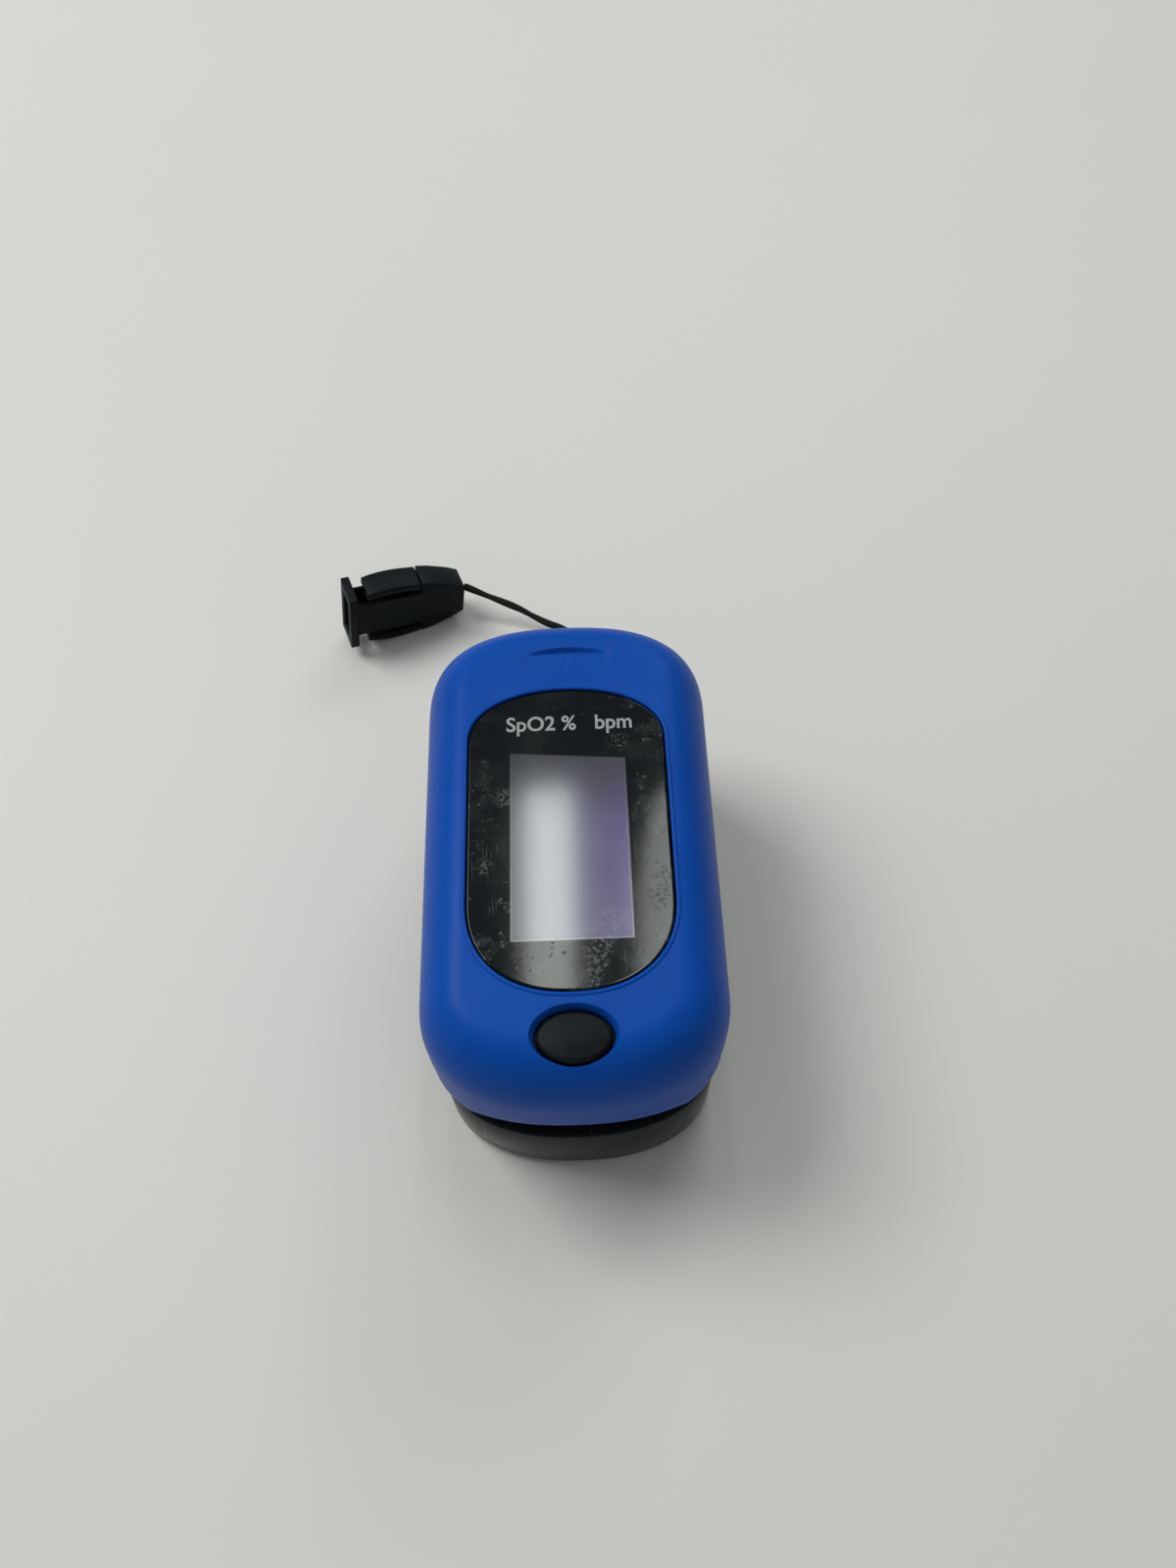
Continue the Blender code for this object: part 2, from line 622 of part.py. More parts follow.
def make_window_gasket():
    outer = window_outline(GAP)
    inner = window_outline(GAP + GASKET_WIDTH)
    low = GASKET_TOP_Z - GASKET_THICKNESS
    add_object("window_gasket", ring_prism(outer, inner, low, GASKET_TOP_Z), GASKET_FOAM)


def make_display():
    low = BOARD_TOP_Z + GAP
    high = low + DISPLAY_THICKNESS
    half_x = DISPLAY_WIDTH / 2
    half_y = DISPLAY_LENGTH / 2
    add_object("display_panel",
               box(-half_x, half_x, DISPLAY_Y - half_y, DISPLAY_Y + half_y, low, high), DISPLAY_GLASS)


def make_main_board():
    chamfer = BOARD_REAR_CHAMFER
    front_chamfer = BOARD_FRONT_CHAMFER
    outline = [(0.0, BOARD_FRONT_Y), (BOARD_HALF_WIDTH - chamfer, BOARD_FRONT_Y),
               (BOARD_HALF_WIDTH, BOARD_FRONT_Y + front_chamfer), (BOARD_HALF_WIDTH, BOARD_REAR_Y - chamfer),
               (BOARD_HALF_WIDTH - chamfer, BOARD_REAR_Y), (0.0, BOARD_REAR_Y)]
    outline += [(-x, y) for x, y in reversed(outline[1:-1])]
    board = add_object("main_board", prism(outline, BOARD_BOTTOM_Z, BOARD_TOP_Z), CIRCUIT_BOARD)
    return board


def make_board_components():
    low = BOARD_TOP_Z + GAP
    chip_y = DISPLAY_Y + DISPLAY_LENGTH / 2 + CHIP_BEHIND_DISPLAY
    chip = CHIP_HALF
    add_object("controller_chip", box(-chip, chip, chip_y - chip, chip_y + chip, low, low + CHIP_HEIGHT),
               CHIP_EPOXY)
    half_x, half_y, height = CRYSTAL_HALF_SIZES
    add_object("timing_crystal", box(SIDE_PART_X - half_x, SIDE_PART_X + half_x, chip_y - half_y,
                                     chip_y + half_y, low, low + height), STEEL)
    add_object("charge_inductor", cylinder(INDUCTOR_RADIUS, (-SIDE_PART_X, chip_y, low),
                                           (-SIDE_PART_X, chip_y, low + CHIP_HEIGHT)), CHIP_EPOXY)
    half_x, half_y, height = CONNECTOR_HALF_SIZES
    connector_y = DISPLAY_Y - DISPLAY_LENGTH / 2 - CONNECTOR_AHEAD
    add_object("display_connector", box(-half_x, half_x, connector_y - half_y, connector_y + half_y,
                                        low, low + height), BLACK_PLASTIC)


def make_tact_switch():
    low = BOARD_TOP_Z + GAP
    high = low + SWITCH_HEIGHT
    half = SWITCH_SIZE / 2
    body = add_object("tact_switch", box(-half, half, BUTTON_Y - half, BUTTON_Y + half, low, high),
                      BLACK_PLASTIC)
    well = PLUNGER_RADIUS + GAP
    combine(body, cylinder(well, (0, BUTTON_Y, low + GAP), (0, BUTTON_Y, high + REACH)))


def make_button():
    top = BODY_HEIGHT - BUTTON_TOP_BELOW
    flange_top = CEILING_Z - GAP
    flange_bottom = flange_top - BUTTON_FLANGE
    crown = BUTTON_CROWN
    rings = [ring(oval_outline(BUTTON_HALF_X, BUTTON_HALF_Y, BUTTON_Y), flange_bottom),
             ring(oval_outline(BUTTON_HALF_X, BUTTON_HALF_Y, BUTTON_Y), top - crown),
             ring(oval_outline(BUTTON_HALF_X - crown * 0.4, BUTTON_HALF_Y - crown * 0.4, BUTTON_Y),
                  top - crown * 0.3),
             ring(oval_outline(BUTTON_HALF_X - crown * 1.4, BUTTON_HALF_Y - crown * 1.4, BUTTON_Y), top)]
    origin = (0.0, BUTTON_Y, flange_bottom)
    button = add_object("power_button", loft(rings), BLACK_PLASTIC, origin)
    tab = BUTTON_HALF_X + BUTTON_TAB
    tab_front = BUTTON_Y - BUTTON_HALF_Y * 0.3
    tab_rear = BUTTON_Y + BUTTON_HALF_Y * 0.7
    combine(button, box(-tab, tab, tab_front, tab_rear, flange_bottom, flange_top), "UNION")
    plunger_top = flange_bottom - GAP
    add_object("switch_plunger", cylinder(PLUNGER_RADIUS, (0, BUTTON_Y, plunger_top - PLUNGER_LENGTH),
                                          (0, BUTTON_Y, plunger_top)), BLACK_PLASTIC)


def ear_profile(up):
    """Side outline of a hinge ear; up is +1 where the ear stands up from the lower half."""
    root = HINGE_SLOT_HALF + 0.4 * MM
    if up > 0:
        reach = FACE_Z - 2.2 * MM
        rear_z = lower_face(HINGE_Y + root) - 0.2 * MM
        front_z = FACE_Z - 0.3 * MM
    else:
        reach = UPPER_FACE_Z + 2.8 * MM
        rear_z = upper_face(HINGE_Y + root) + 0.4 * MM
        front_z = UPPER_FACE_Z + 0.4 * MM
    start = math.asin(max(-0.25, up * (rear_z - HINGE_Z) / EAR_RADIUS))
    end = math.pi - math.asin(max(-0.25, up * (front_z - HINGE_Z) / EAR_RADIUS))
    points = []
    for step in range(13):
        angle = start + (end - start) * step / 12
        points.append((HINGE_Y + EAR_RADIUS * math.cos(angle), HINGE_Z + up * EAR_RADIUS * math.sin(angle)))
    if abs(points[-1][1] - front_z) > GAP:
        points.append((points[-1][0], front_z))
    points += [(HINGE_Y - root, front_z), (HINGE_Y - root, reach), (HINGE_Y + root, reach),
               (HINGE_Y + root, rear_z)]
    if abs(points[0][1] - rear_z) > GAP:
        points.append((points[0][0], rear_z))
    return points


def add_ears(target, centre_x, up):
    for side in (-1, 1):
        middle = side * centre_x
        ear = along_x(ear_profile(up), middle - EAR_THICKNESS / 2, middle + EAR_THICKNESS / 2)
        combine(target, ear, "UNION")
    bore = cylinder(PIN_RADIUS + GAP, (-PIN_HALF_LENGTH - GAP, HINGE_Y, HINGE_Z),
                    (PIN_HALF_LENGTH + GAP, HINGE_Y, HINGE_Z), 24)
    combine(target, bore)


def hinge_slot():
    half = UPPER_EAR_X + EAR_THICKNESS / 2 + GAP
    return box(-half, half, HINGE_Y - HINGE_SLOT_HALF, HINGE_Y + HINGE_SLOT_HALF,
               FACE_Z - SLOT_REACH, UPPER_FACE_Z + SLOT_REACH)


def flex_slot():
    return box(-FLEX_HALF_WIDTH - 2 * GAP, FLEX_HALF_WIDTH + 2 * GAP, FLEX_Y - FLEX_SLOT_HALF,
               FLEX_Y + FLEX_SLOT_HALF, FACE_Z - SLOT_REACH, UPPER_FACE_Z + SLOT_REACH)


def optics_hole(low, high, size=OPTICS_WINDOW):
    half = size / 2
    return box(-half, half, OPTICS_Y - half, OPTICS_Y + half, low, high)


def make_upper_inner_cover():
    inset = COVER_INNER
    inner = inset + RIM_WALL
    cover = add_object("upper_inner_cover", loft([
        ring(body_outline(inset), upper_face), ring(body_outline(inset), UPPER_RIM_TOP_Z),
        ring(body_outline(inner), UPPER_RIM_TOP_Z),
        ring(body_outline(inner), lambda y: upper_face(y) + UPPER_PLATE)]), BLACK_PLASTIC)
    outer = CHANNEL_HALF_WIDTH + CHANNEL_WALL
    block = box(-outer, outer, -HALF_LENGTH - REACH, CHANNEL_END_Y + CHANNEL_WALL,
                UPPER_FACE_Z + UPPER_PLATE / 3, CHANNEL_TOP_Z)
    channel = combine(cover, block, "UNION")
    combine(channel, prism(body_outline(inset + GAP / 3), FACE_Z, CHANNEL_TOP_Z + REACH), "INTERSECT")
    combine(cover, box(-CHANNEL_HALF_WIDTH, CHANNEL_HALF_WIDTH, -HALF_LENGTH - REACH, CHANNEL_END_Y,
                       FACE_Z, CHANNEL_CEILING_Z))
    combine(cover, optics_hole(CHANNEL_CEILING_Z - CHANNEL_WALL, CHANNEL_TOP_Z + CHANNEL_WALL))
    combine(cover, hinge_slot())
    combine(cover, flex_slot())
    for x, y in upper_screw_places():
        base = upper_face(y)
        post = cylinder(POST_RADIUS + POST_SLEEVE, (x, y, base + UPPER_PLATE / 2), (x, y, UPPER_RIM_TOP_Z))
        helper = combine(cover, post, "UNION")
        combine(helper, prism(body_outline(inset + GAP / 3), FACE_Z, BODY_HEIGHT), "INTERSECT")
    cuts = []
    for x, y in upper_screw_places():
        base = upper_face(y)
        cuts.append(cylinder(SCREW_HEAD_RADIUS + SCREW_CLEARANCE, (x, y, base - REACH / 10),
                             (x, y, base + SCREW_SINK + SCREW_HEAD_HEIGHT + 2 * GAP)))
    combine(cover, merge(*cuts))
    holes = [cylinder(SCREW_RADIUS + SCREW_CLEARANCE, (x, y, upper_face(y) - REACH / 10),
                      (x, y, UPPER_RIM_TOP_Z + REACH / 10)) for x, y in upper_screw_places()]
    combine(cover, merge(*holes))
    for side in (-1, 1):
        for y in (BOARD_FRONT_Y + BOARD_POST_FRONT, CHANNEL_END_Y - BOARD_POST_REAR):
            x = side * (BOARD_HALF_WIDTH - BOARD_POST_IN)
            combine(cover, cylinder(BOARD_POST_RADIUS, (x, y, CHANNEL_TOP_Z - CHANNEL_WALL / 2),
                                    (x, y, BOARD_BOTTOM_Z - GAP)), "UNION")
    add_ears(cover, UPPER_EAR_X, -1)


def pad_profile(lower):
    """Cross-section of a finger pad: a trough for the lower one, an arch for the upper one."""
    steps = 10
    if lower:
        base = FACE_Z + GAP
        floor = base + PAD_BASE
        tip = floor + LOWER_LIP_HEIGHT
    else:
        base = CHANNEL_CEILING_Z - GAP
        floor = UPPER_PAD_UNDERSIDE_Z
        tip = FACE_Z + GAP + PAD_BASE + LOWER_LIP_HEIGHT + PAD_SPLIT_GAP
    inner = []
    for step in range(steps + 1):
        angle = math.pi * step / steps
        x = PAD_INNER_HALF * math.copysign(abs(math.cos(angle)) ** 0.6, math.cos(angle))
        inner.append((x, tip + (floor - tip) * math.sin(angle) ** 0.6))
    return [(-PAD_HALF_WIDTH, base), (PAD_HALF_WIDTH, base), (PAD_HALF_WIDTH, tip)] + inner + [
        (-PAD_HALF_WIDTH, tip)]


def make_pads():
    outline = body_outline(LOWER_RIM_INSET)
    rear = CHANNEL_END_Y - GAP
    lower = add_object("lower_finger_pad", along_y(pad_profile(True), -HALF_LENGTH, rear), PAD_RUBBER)
    combine(lower, prism(outline, 0.0, BODY_HEIGHT), "INTERSECT")
    combine(lower, optics_hole(FACE_Z, FACE_Z + 2 * MM))
    upper = add_object("upper_finger_pad", along_y(pad_profile(False), -HALF_LENGTH, rear), PAD_RUBBER)
    combine(upper, prism(outline, 0.0, BODY_HEIGHT), "INTERSECT")
    combine(upper, optics_hole(UPPER_PAD_UNDERSIDE_Z - MM, CHANNEL_CEILING_Z))


def make_emitter():
    low = CHANNEL_TOP_Z + GAP
    half = EMITTER_BOARD_HALF
    add_object("emitter_board", box(-half, half, OPTICS_Y - half, OPTICS_Y + half, low,
                                    low + SMALL_BOARD_THICKNESS), CIRCUIT_BOARD)
    body = OPTICS_BODY / 2
    add_object("emitter_led", box(-body, body, OPTICS_Y - body, OPTICS_Y + body,
                                  UPPER_PAD_UNDERSIDE_Z + OPTICS_SINK, low - GAP), CLEAR_RESIN)


def make_screw(name, x, y, base, up):
    """A pan-head screw whose head is sunk SCREW_SINK above base; up is its driving direction."""
    start = base + up * SCREW_SINK
    shoulder = start + up * SCREW_HEAD_HEIGHT
    screw = add_object(name, cylinder(SCREW_HEAD_RADIUS, (x, y, start), (x, y, shoulder), 16), STEEL,
                       (x, y, start))
    shank = cylinder(SCREW_RADIUS, (x, y, start + up * SCREW_HEAD_HEIGHT / 2),
                     (x, y, start + up * SCREW_LENGTH), 12)
    combine(screw, shank, "UNION")
    cross = DRIVE_HALF_WIDTH
    arm = DRIVE_HALF_LENGTH
    low, high = sorted((start - up * REACH / 20, start + up * DRIVE_DEPTH))
    combine(screw, box(x - cross, x + cross, y - arm, y + arm, low, high))
    combine(screw, box(x - arm, x + arm, y - cross, y + cross, low, high))


# ================================================================ lower half

def make_lower_shell():
    rings = []
    steps = 4
    for step in range(steps + 1):
        angle = math.pi / 2 * step / steps
        inset = LOWER_INSET + BOTTOM_ROUND * (1 - math.sin(angle))
        rings.append(ring(body_outline(inset), BOTTOM_ROUND * (1 - math.cos(angle))))
    rings.append(ring(body_outline(LOWER_INSET), shell_edge))
    rings.append(ring(body_outline(SHELL_INNER), shell_edge))
    rings.append(ring(body_outline(SHELL_INNER), FLOOR_TOP_Z))
    shell = add_object("lower_shell", loft(rings), GREY_PLASTIC)
    wall_y = REAR_CONTACT_Y + CONTACT_THICKNESS + GAP
    wall_top = lower_face(wall_y + MM) - RIM_DEPTH - GAP
    wall = box(-CROSS_WALL_HALF, CROSS_WALL_HALF, wall_y, wall_y + MM, FLOOR_TOP_Z - GAP, wall_top)
    combine(shell, wall, "UNION")
    x, y = LOWER_SCREW_POSITION
    for side in (-1, 1):
        boss = cylinder(POST_RADIUS, (side * x, y, FLOOR_TOP_Z / 2), (side * x, y, LOWER_BOSS_TOP_Z))
        combine(shell, boss, "UNION")
    bay = DOOR_HALF_WIDTH + GAP / 3
    bay_front = FRONT_CONTACT_Y - CONTACT_THICKNESS - GAP
    combine(shell, box(-bay, bay, bay_front, DOOR_REAR_Y + GAP, -REACH, FLOOR_TOP_Z + REACH / 4))
    combine(shell, box(-bay, bay, bay_front, REAR_CONTACT_Y + CONTACT_THICKNESS + GAP / 2,
                       DOOR_TOP_Z + GAP / 3, FLOOR_TOP_Z + REACH / 4))
    door = DOOR_HALF_WIDTH + GAP
    combine(shell, box(-door, door, -HALF_LENGTH - REACH, DOOR_REAR_Y + GAP, -REACH, DOOR_TOP_Z + GAP))
    groove = DOOR_HALF_WIDTH + TONGUE_WIDTH + GAP
    combine(shell, box(-groove, groove, -HALF_LENGTH - REACH, DOOR_REAR_Y + GAP,
                       DOOR_TOP_Z - TONGUE_THICKNESS - GAP, DOOR_TOP_Z + GAP))
    holes = []
    for side in (-1, 1):
        centre = (side * x, y)
        holes.append(cylinder(SCREW_RADIUS + SCREW_CLEARANCE, (*centre, -REACH),
                              (*centre, LOWER_BOSS_TOP_Z + MM)))
    combine(shell, merge(*holes))
    sinks = []
    for side in (-1, 1):
        centre = (side * x, y)
        sinks.append(cylinder(SCREW_HEAD_RADIUS + SCREW_CLEARANCE, (*centre, -REACH),
                              (*centre, SCREW_SINK + SCREW_HEAD_HEIGHT + GAP)))
    combine(shell, merge(*sinks))
    eyes = []
    for side in (-1, 1):
        middle = side * EYE_HOLE_X
        half = EYE_HOLE_WIDTH / 2
        eyes.append(box(middle - half, middle + half, HALF_LENGTH - REACH / 5, HALF_LENGTH + REACH,
                        EYE_Z - EYE_HOLE_HEIGHT / 2, EYE_Z + EYE_HOLE_HEIGHT / 2))
    combine(shell, merge(*eyes))


def make_lower_inner_cover():
    inset = LOWER_RIM_INSET
    inner = inset + RIM_WALL
    cover = add_object("lower_inner_cover", loft([
        ring(body_outline(inset), lower_face),
        ring(body_outline(inset), lambda y: lower_face(y) - RIM_DEPTH),
        ring(body_outline(inner), lambda y: lower_face(y) - RIM_DEPTH),
        ring(body_outline(inner), lambda y: lower_face(y) - LOWER_PLATE)]), BLACK_PLASTIC)
    x, y = LOWER_SCREW_POSITION
    for side in (-1, 1):
        post = cylinder(POST_RADIUS, (side * x, y, LOWER_BOSS_TOP_Z + GAP),
                        (side * x, y, lower_face(y) - LOWER_PLATE / 2))
        combine(cover, post, "UNION")
    holes = [cylinder(SCREW_RADIUS + SCREW_CLEARANCE, (side * x, y, LOWER_BOSS_TOP_Z - MM),
                      (side * x, y, SCREW_SINK + SCREW_LENGTH + MM)) for side in (-1, 1)]
    combine(cover, merge(*holes))
    combine(cover, hinge_slot())
    combine(cover, flex_slot())
    combine(cover, optics_hole(FACE_Z - 2 * MM, FACE_Z + MM))
    add_ears(cover, LOWER_EAR_X, 1)


def make_detector():
    high = FACE_Z - LOWER_PLATE - GAP
    half = DETECTOR_BOARD_HALF
    add_object("detector_board", box(-half, half, OPTICS_Y - DETECTOR_BOARD_AHEAD, FLEX_Y - GAP - 0.2 * MM,
                                     high - SMALL_BOARD_THICKNESS, high), CIRCUIT_BOARD)
    body = OPTICS_BODY / 2
    add_object("photodiode", box(-body, body, OPTICS_Y - body, OPTICS_Y + body, high + GAP,
                                 FACE_Z + GAP + PAD_BASE - 0.4 * MM), CHIP_EPOXY)


def make_flex_cable():
    """The ribbon between the boards, with a slack wave in it."""
    low = FACE_Z - LOWER_PLATE - 0.9 * MM
    high = BOARD_BOTTOM_Z - GAP
    steps = 16
    front = []
    rear = []
    for step in range(steps + 1):
        share = step / steps
        z = low + (high - low) * share
        wave = 1.0 * MM * math.sin(math.pi * share) * math.sin(math.pi * max(0.0, share * 2 - 0.7))
        front.append((FLEX_Y - FLEX_THICKNESS / 2 + wave, z))
        rear.append((FLEX_Y + FLEX_THICKNESS / 2 + wave, z))
    add_object("flex_cable", along_x(front + rear[::-1], -FLEX_HALF_WIDTH, FLEX_HALF_WIDTH), FLEX_FILM)


def make_cell(name, x, plus_front):
    if plus_front:
        body = (CELL_FRONT_Y + CELL_NUB_LENGTH, CELL_REAR_Y)
        nub = (CELL_FRONT_Y, CELL_FRONT_Y + CELL_NUB_LENGTH * 2)
    else:
        body = (CELL_FRONT_Y, CELL_REAR_Y - CELL_NUB_LENGTH)
        nub = (CELL_REAR_Y - CELL_NUB_LENGTH * 2, CELL_REAR_Y)
    jacket = cylinder(CELL_RADIUS, (x, body[0], CELL_Z), (x, body[1], CELL_Z), 32)
    cell = add_object(name, jacket, CELL_JACKET)
    combine(cell, cylinder(CELL_NUB_RADIUS, (x, nub[0], CELL_Z), (x, nub[1], CELL_Z), 16), "UNION")


def spring_points(x, wide_y, narrow_y):
    """A conical coil along Y, wide where it sits on its contact."""
    points = []
    steps = int(BATTERY_SPRING_TURNS * 14)
    for step in range(steps + 1):
        share = step / steps
        angle = math.tau * BATTERY_SPRING_TURNS * share
        radius = BATTERY_SPRING_WIDE + (BATTERY_SPRING_NARROW - BATTERY_SPRING_WIDE) * share
        y = wide_y + (narrow_y - wide_y) * share
        points.append((x + radius * math.cos(angle), y, CELL_Z + radius * math.sin(angle)))
    return points


def make_contacts():
    half_dome = CELL_NUB_RADIUS
    bridge = CELL_X + BRIDGE_PAST_CELL
    front = add_object("front_contact_bridge", box(
        -bridge, bridge, FRONT_CONTACT_Y - CONTACT_THICKNESS, FRONT_CONTACT_Y, CONTACT_BOTTOM_Z,
        CONTACT_TOP_Z), STEEL)
    combine(front, cylinder(half_dome, (-CELL_X, FRONT_CONTACT_Y - CONTACT_THICKNESS / 2, CELL_Z),
                            (-CELL_X, CELL_FRONT_Y - GAP, CELL_Z), 16), "UNION")
    for name, side in (("rear_contact_minus", -1), ("rear_contact_plus", 1)):
        middle = side * CELL_X
        plate = add_object(name, box(
            middle - CONTACT_HALF_WIDTH, middle + CONTACT_HALF_WIDTH, REAR_CONTACT_Y,
            REAR_CONTACT_Y + CONTACT_THICKNESS, CONTACT_BOTTOM_Z, CONTACT_TOP_Z), STEEL)
        if side > 0:
            combine(plate, cylinder(half_dome, (middle, REAR_CONTACT_Y + CONTACT_THICKNESS / 2, CELL_Z),
                                    (middle, CELL_REAR_Y + GAP, CELL_Z), 16), "UNION")
    seat = GAP + BATTERY_SPRING_WIRE
    add_wire("battery_spring_front", spring_points(CELL_X, FRONT_CONTACT_Y + seat, CELL_FRONT_Y - seat),
             BATTERY_SPRING_WIRE, STEEL)
    add_wire("battery_spring_rear", spring_points(-CELL_X, REAR_CONTACT_Y - seat, CELL_REAR_Y + seat),
             BATTERY_SPRING_WIRE, STEEL)


def make_battery_door():
    slab = box(-DOOR_HALF_WIDTH, DOOR_HALF_WIDTH, -HALF_LENGTH - REACH, DOOR_REAR_Y, DOOR_BOTTOM_Z,
               DOOR_TOP_Z)
    door = add_object("battery_door", slab, GREY_PLASTIC, (0.0, 0.0, DOOR_BOTTOM_Z))
    combine(door, prism(body_outline(LOWER_INSET + BOTTOM_ROUND / 3), -MM, 2 * DOOR_TOP_Z), "INTERSECT")
    tongue = DOOR_HALF_WIDTH + TONGUE_WIDTH
    combine(door, box(-tongue, tongue, TONGUE_FRONT_Y, DOOR_REAR_Y - GAP,
                      DOOR_TOP_Z - TONGUE_THICKNESS, DOOR_TOP_Z - GAP / 10), "UNION")
    for step in range(GRIP_GROOVES):
        y = -HALF_LENGTH + GRIP_FIRST + step * GRIP_PITCH
        combine(door, box(-GRIP_HALF_WIDTH, GRIP_HALF_WIDTH, y, y + GRIP_GROOVE_WIDTH,
                          DOOR_BOTTOM_Z - MM, DOOR_BOTTOM_Z + GAP))


def make_hinge_pin():
    add_object("hinge_pin", cylinder(PIN_RADIUS, (-PIN_HALF_LENGTH, HINGE_Y, HINGE_Z),
                                     (PIN_HALF_LENGTH, HINGE_Y, HINGE_Z), 20), STEEL)


def make_torsion_spring(name, side):
    """A coil round the hinge pin, with a leg against each half."""
    start_x = COIL_X - COIL_TURNS * COIL_PITCH / 2
    points = []
    lower_end_y = HINGE_Y + LEG_REACH
    points.append((side * start_x, lower_end_y, lower_face(lower_end_y) + COIL_WIRE + 2 * GAP))
    steps = COIL_TURNS * 16
    for step in range(steps + 1):
        angle = -math.pi / 2 - math.tau * COIL_TURNS * step / steps
        x = start_x + COIL_TURNS * COIL_PITCH * step / steps
        points.append((side * x, HINGE_Y + COIL_RADIUS * math.cos(angle),
                       HINGE_Z + COIL_RADIUS * math.sin(angle)))
    end_x = start_x + COIL_TURNS * COIL_PITCH
    bend_y = HINGE_Y + 2.5 * MM
    points.append((side * end_x, bend_y, HINGE_Z - COIL_RADIUS + 0.15 * MM))
    points.append((side * end_x, lower_end_y, upper_face(lower_end_y) - COIL_WIRE - GAP))
    add_wire(name, points, COIL_WIRE, STEEL)


# ================================================================ lanyard

def make_cord():
    route = [tuple(value * MM for value in point) for point in CORD_ROUTE]
    add_wire("lanyard_cord", smooth_route(route, CORD_POINTS), CORD_DIAMETER / 2, CORD_FIBRE, 2)


def clasp_place(u, v, w):
    """Clasp coordinates to world: u along, v up from its middle, w across."""
    along = u * math.cos(CLASP_DIP) + v * math.sin(CLASP_DIP)
    x = CLASP_START[0] + along * math.cos(CLASP_TURN) - w * math.sin(CLASP_TURN)
    y = CLASP_START[1] + along * math.sin(CLASP_TURN) + w * math.cos(CLASP_TURN)
    return (x, y, CLASP_START[2] + v * math.cos(CLASP_DIP) - u * math.sin(CLASP_DIP))


def clasp_slab(points, depth):
    return extrude_profile(points, -depth / 2, depth / 2, clasp_place)


def make_clasp_body():
    """Flange, core and wedge-shaped shoulders; a socket opens through the flange."""
    upper = [(CLASP_FLANGE / 2, CLASP_CORE_HALF), (CLASP_SHOULDER_U, CLASP_CORE_HALF),
             (CLASP_SHOULDER_U, CLASP_SHOULDER_HALF), *CLASP_SHOULDER_SLOPE, (CLASP_LENGTH, CLASP_NECK_HALF)]
    profile = upper + [(u, -v) for u, v in reversed(upper)]
    body = add_object("clasp_body", clasp_slab(profile, CLASP_THICKNESS), BLACK_PLASTIC)
    half = CLASP_HEIGHT / 2
    flange = [(0.0, -half), (CLASP_FLANGE, -half), (CLASP_FLANGE, half), (0.0, half)]
    combine(body, clasp_slab(flange, CLASP_FLANGE_DEPTH), "UNION")
    height, depth, reach = CLASP_SOCKET
    socket = [(-MM, -height / 2), (reach, -height / 2), (reach, height / 2), (-MM, height / 2)]
    combine(body, clasp_slab(socket, depth))


def make_clasp_arm(name, up):
    """A sprung side arm, crowned, with a free end near the flange."""
    outer = []
    inner = []
    steps = 12
    for step in range(steps + 1):
        u = ARM_TIP_U + (ARM_ROOT_U - ARM_TIP_U) * step / steps
        if u < ARM_CREST_U:
            share = (ARM_CREST_U - u) / (ARM_CREST_U - ARM_TIP_U)
            v = ARM_CREST_V + (ARM_TIP_V - ARM_CREST_V) * share * share
        else:
            share = (u - ARM_CREST_U) / (ARM_ROOT_U - ARM_CREST_U)
            v = ARM_CREST_V + (ARM_ROOT_V - ARM_CREST_V) * share * share
        outer.append((u, up * v))
        inner.append((u, up * (v - ARM_THICKNESS)))
    origin = clasp_place(ARM_ROOT_U, up * ARM_ROOT_V, 0.0)
    arm = add_object(name, clasp_slab(outer + inner[::-1], ARM_DEPTH), BLACK_PLASTIC, origin)
    return arm


# ================================================================ build

make_top_cover()
make_window()
make_window_gasket()
make_display()
make_main_board()
make_board_components()
make_tact_switch()
make_button()
make_upper_inner_cover()
make_pads()
make_emitter()
for index, (screw_x, screw_y) in enumerate(upper_screw_places(), 1):
    make_screw("upper_screw_" + str(index), screw_x, screw_y, upper_face(screw_y), 1)

make_lower_shell()
make_lower_inner_cover()
make_detector()
make_flex_cable()
make_cell("battery_left", -CELL_X, True)
make_cell("battery_right", CELL_X, False)
make_contacts()
make_battery_door()
make_hinge_pin()
make_torsion_spring("torsion_spring_left", -1)
make_torsion_spring("torsion_spring_right", 1)
for index, side_sign in enumerate((-1, 1), 1):
    screw_x, screw_y = LOWER_SCREW_POSITION
    make_screw("lower_screw_" + str(index), side_sign * screw_x, screw_y, 0.0, 1)

make_cord()
make_clasp_body()
make_clasp_arm("clasp_arm_upper", 1)
make_clasp_arm("clasp_arm_lower", -1)
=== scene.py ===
"""Fingertip pulse oximeter: surfaces, finishes, cord, light and camera, around the fixed CAD frame."""
import json
import math

import bmesh
import bpy
from mathutils import Matrix, Vector


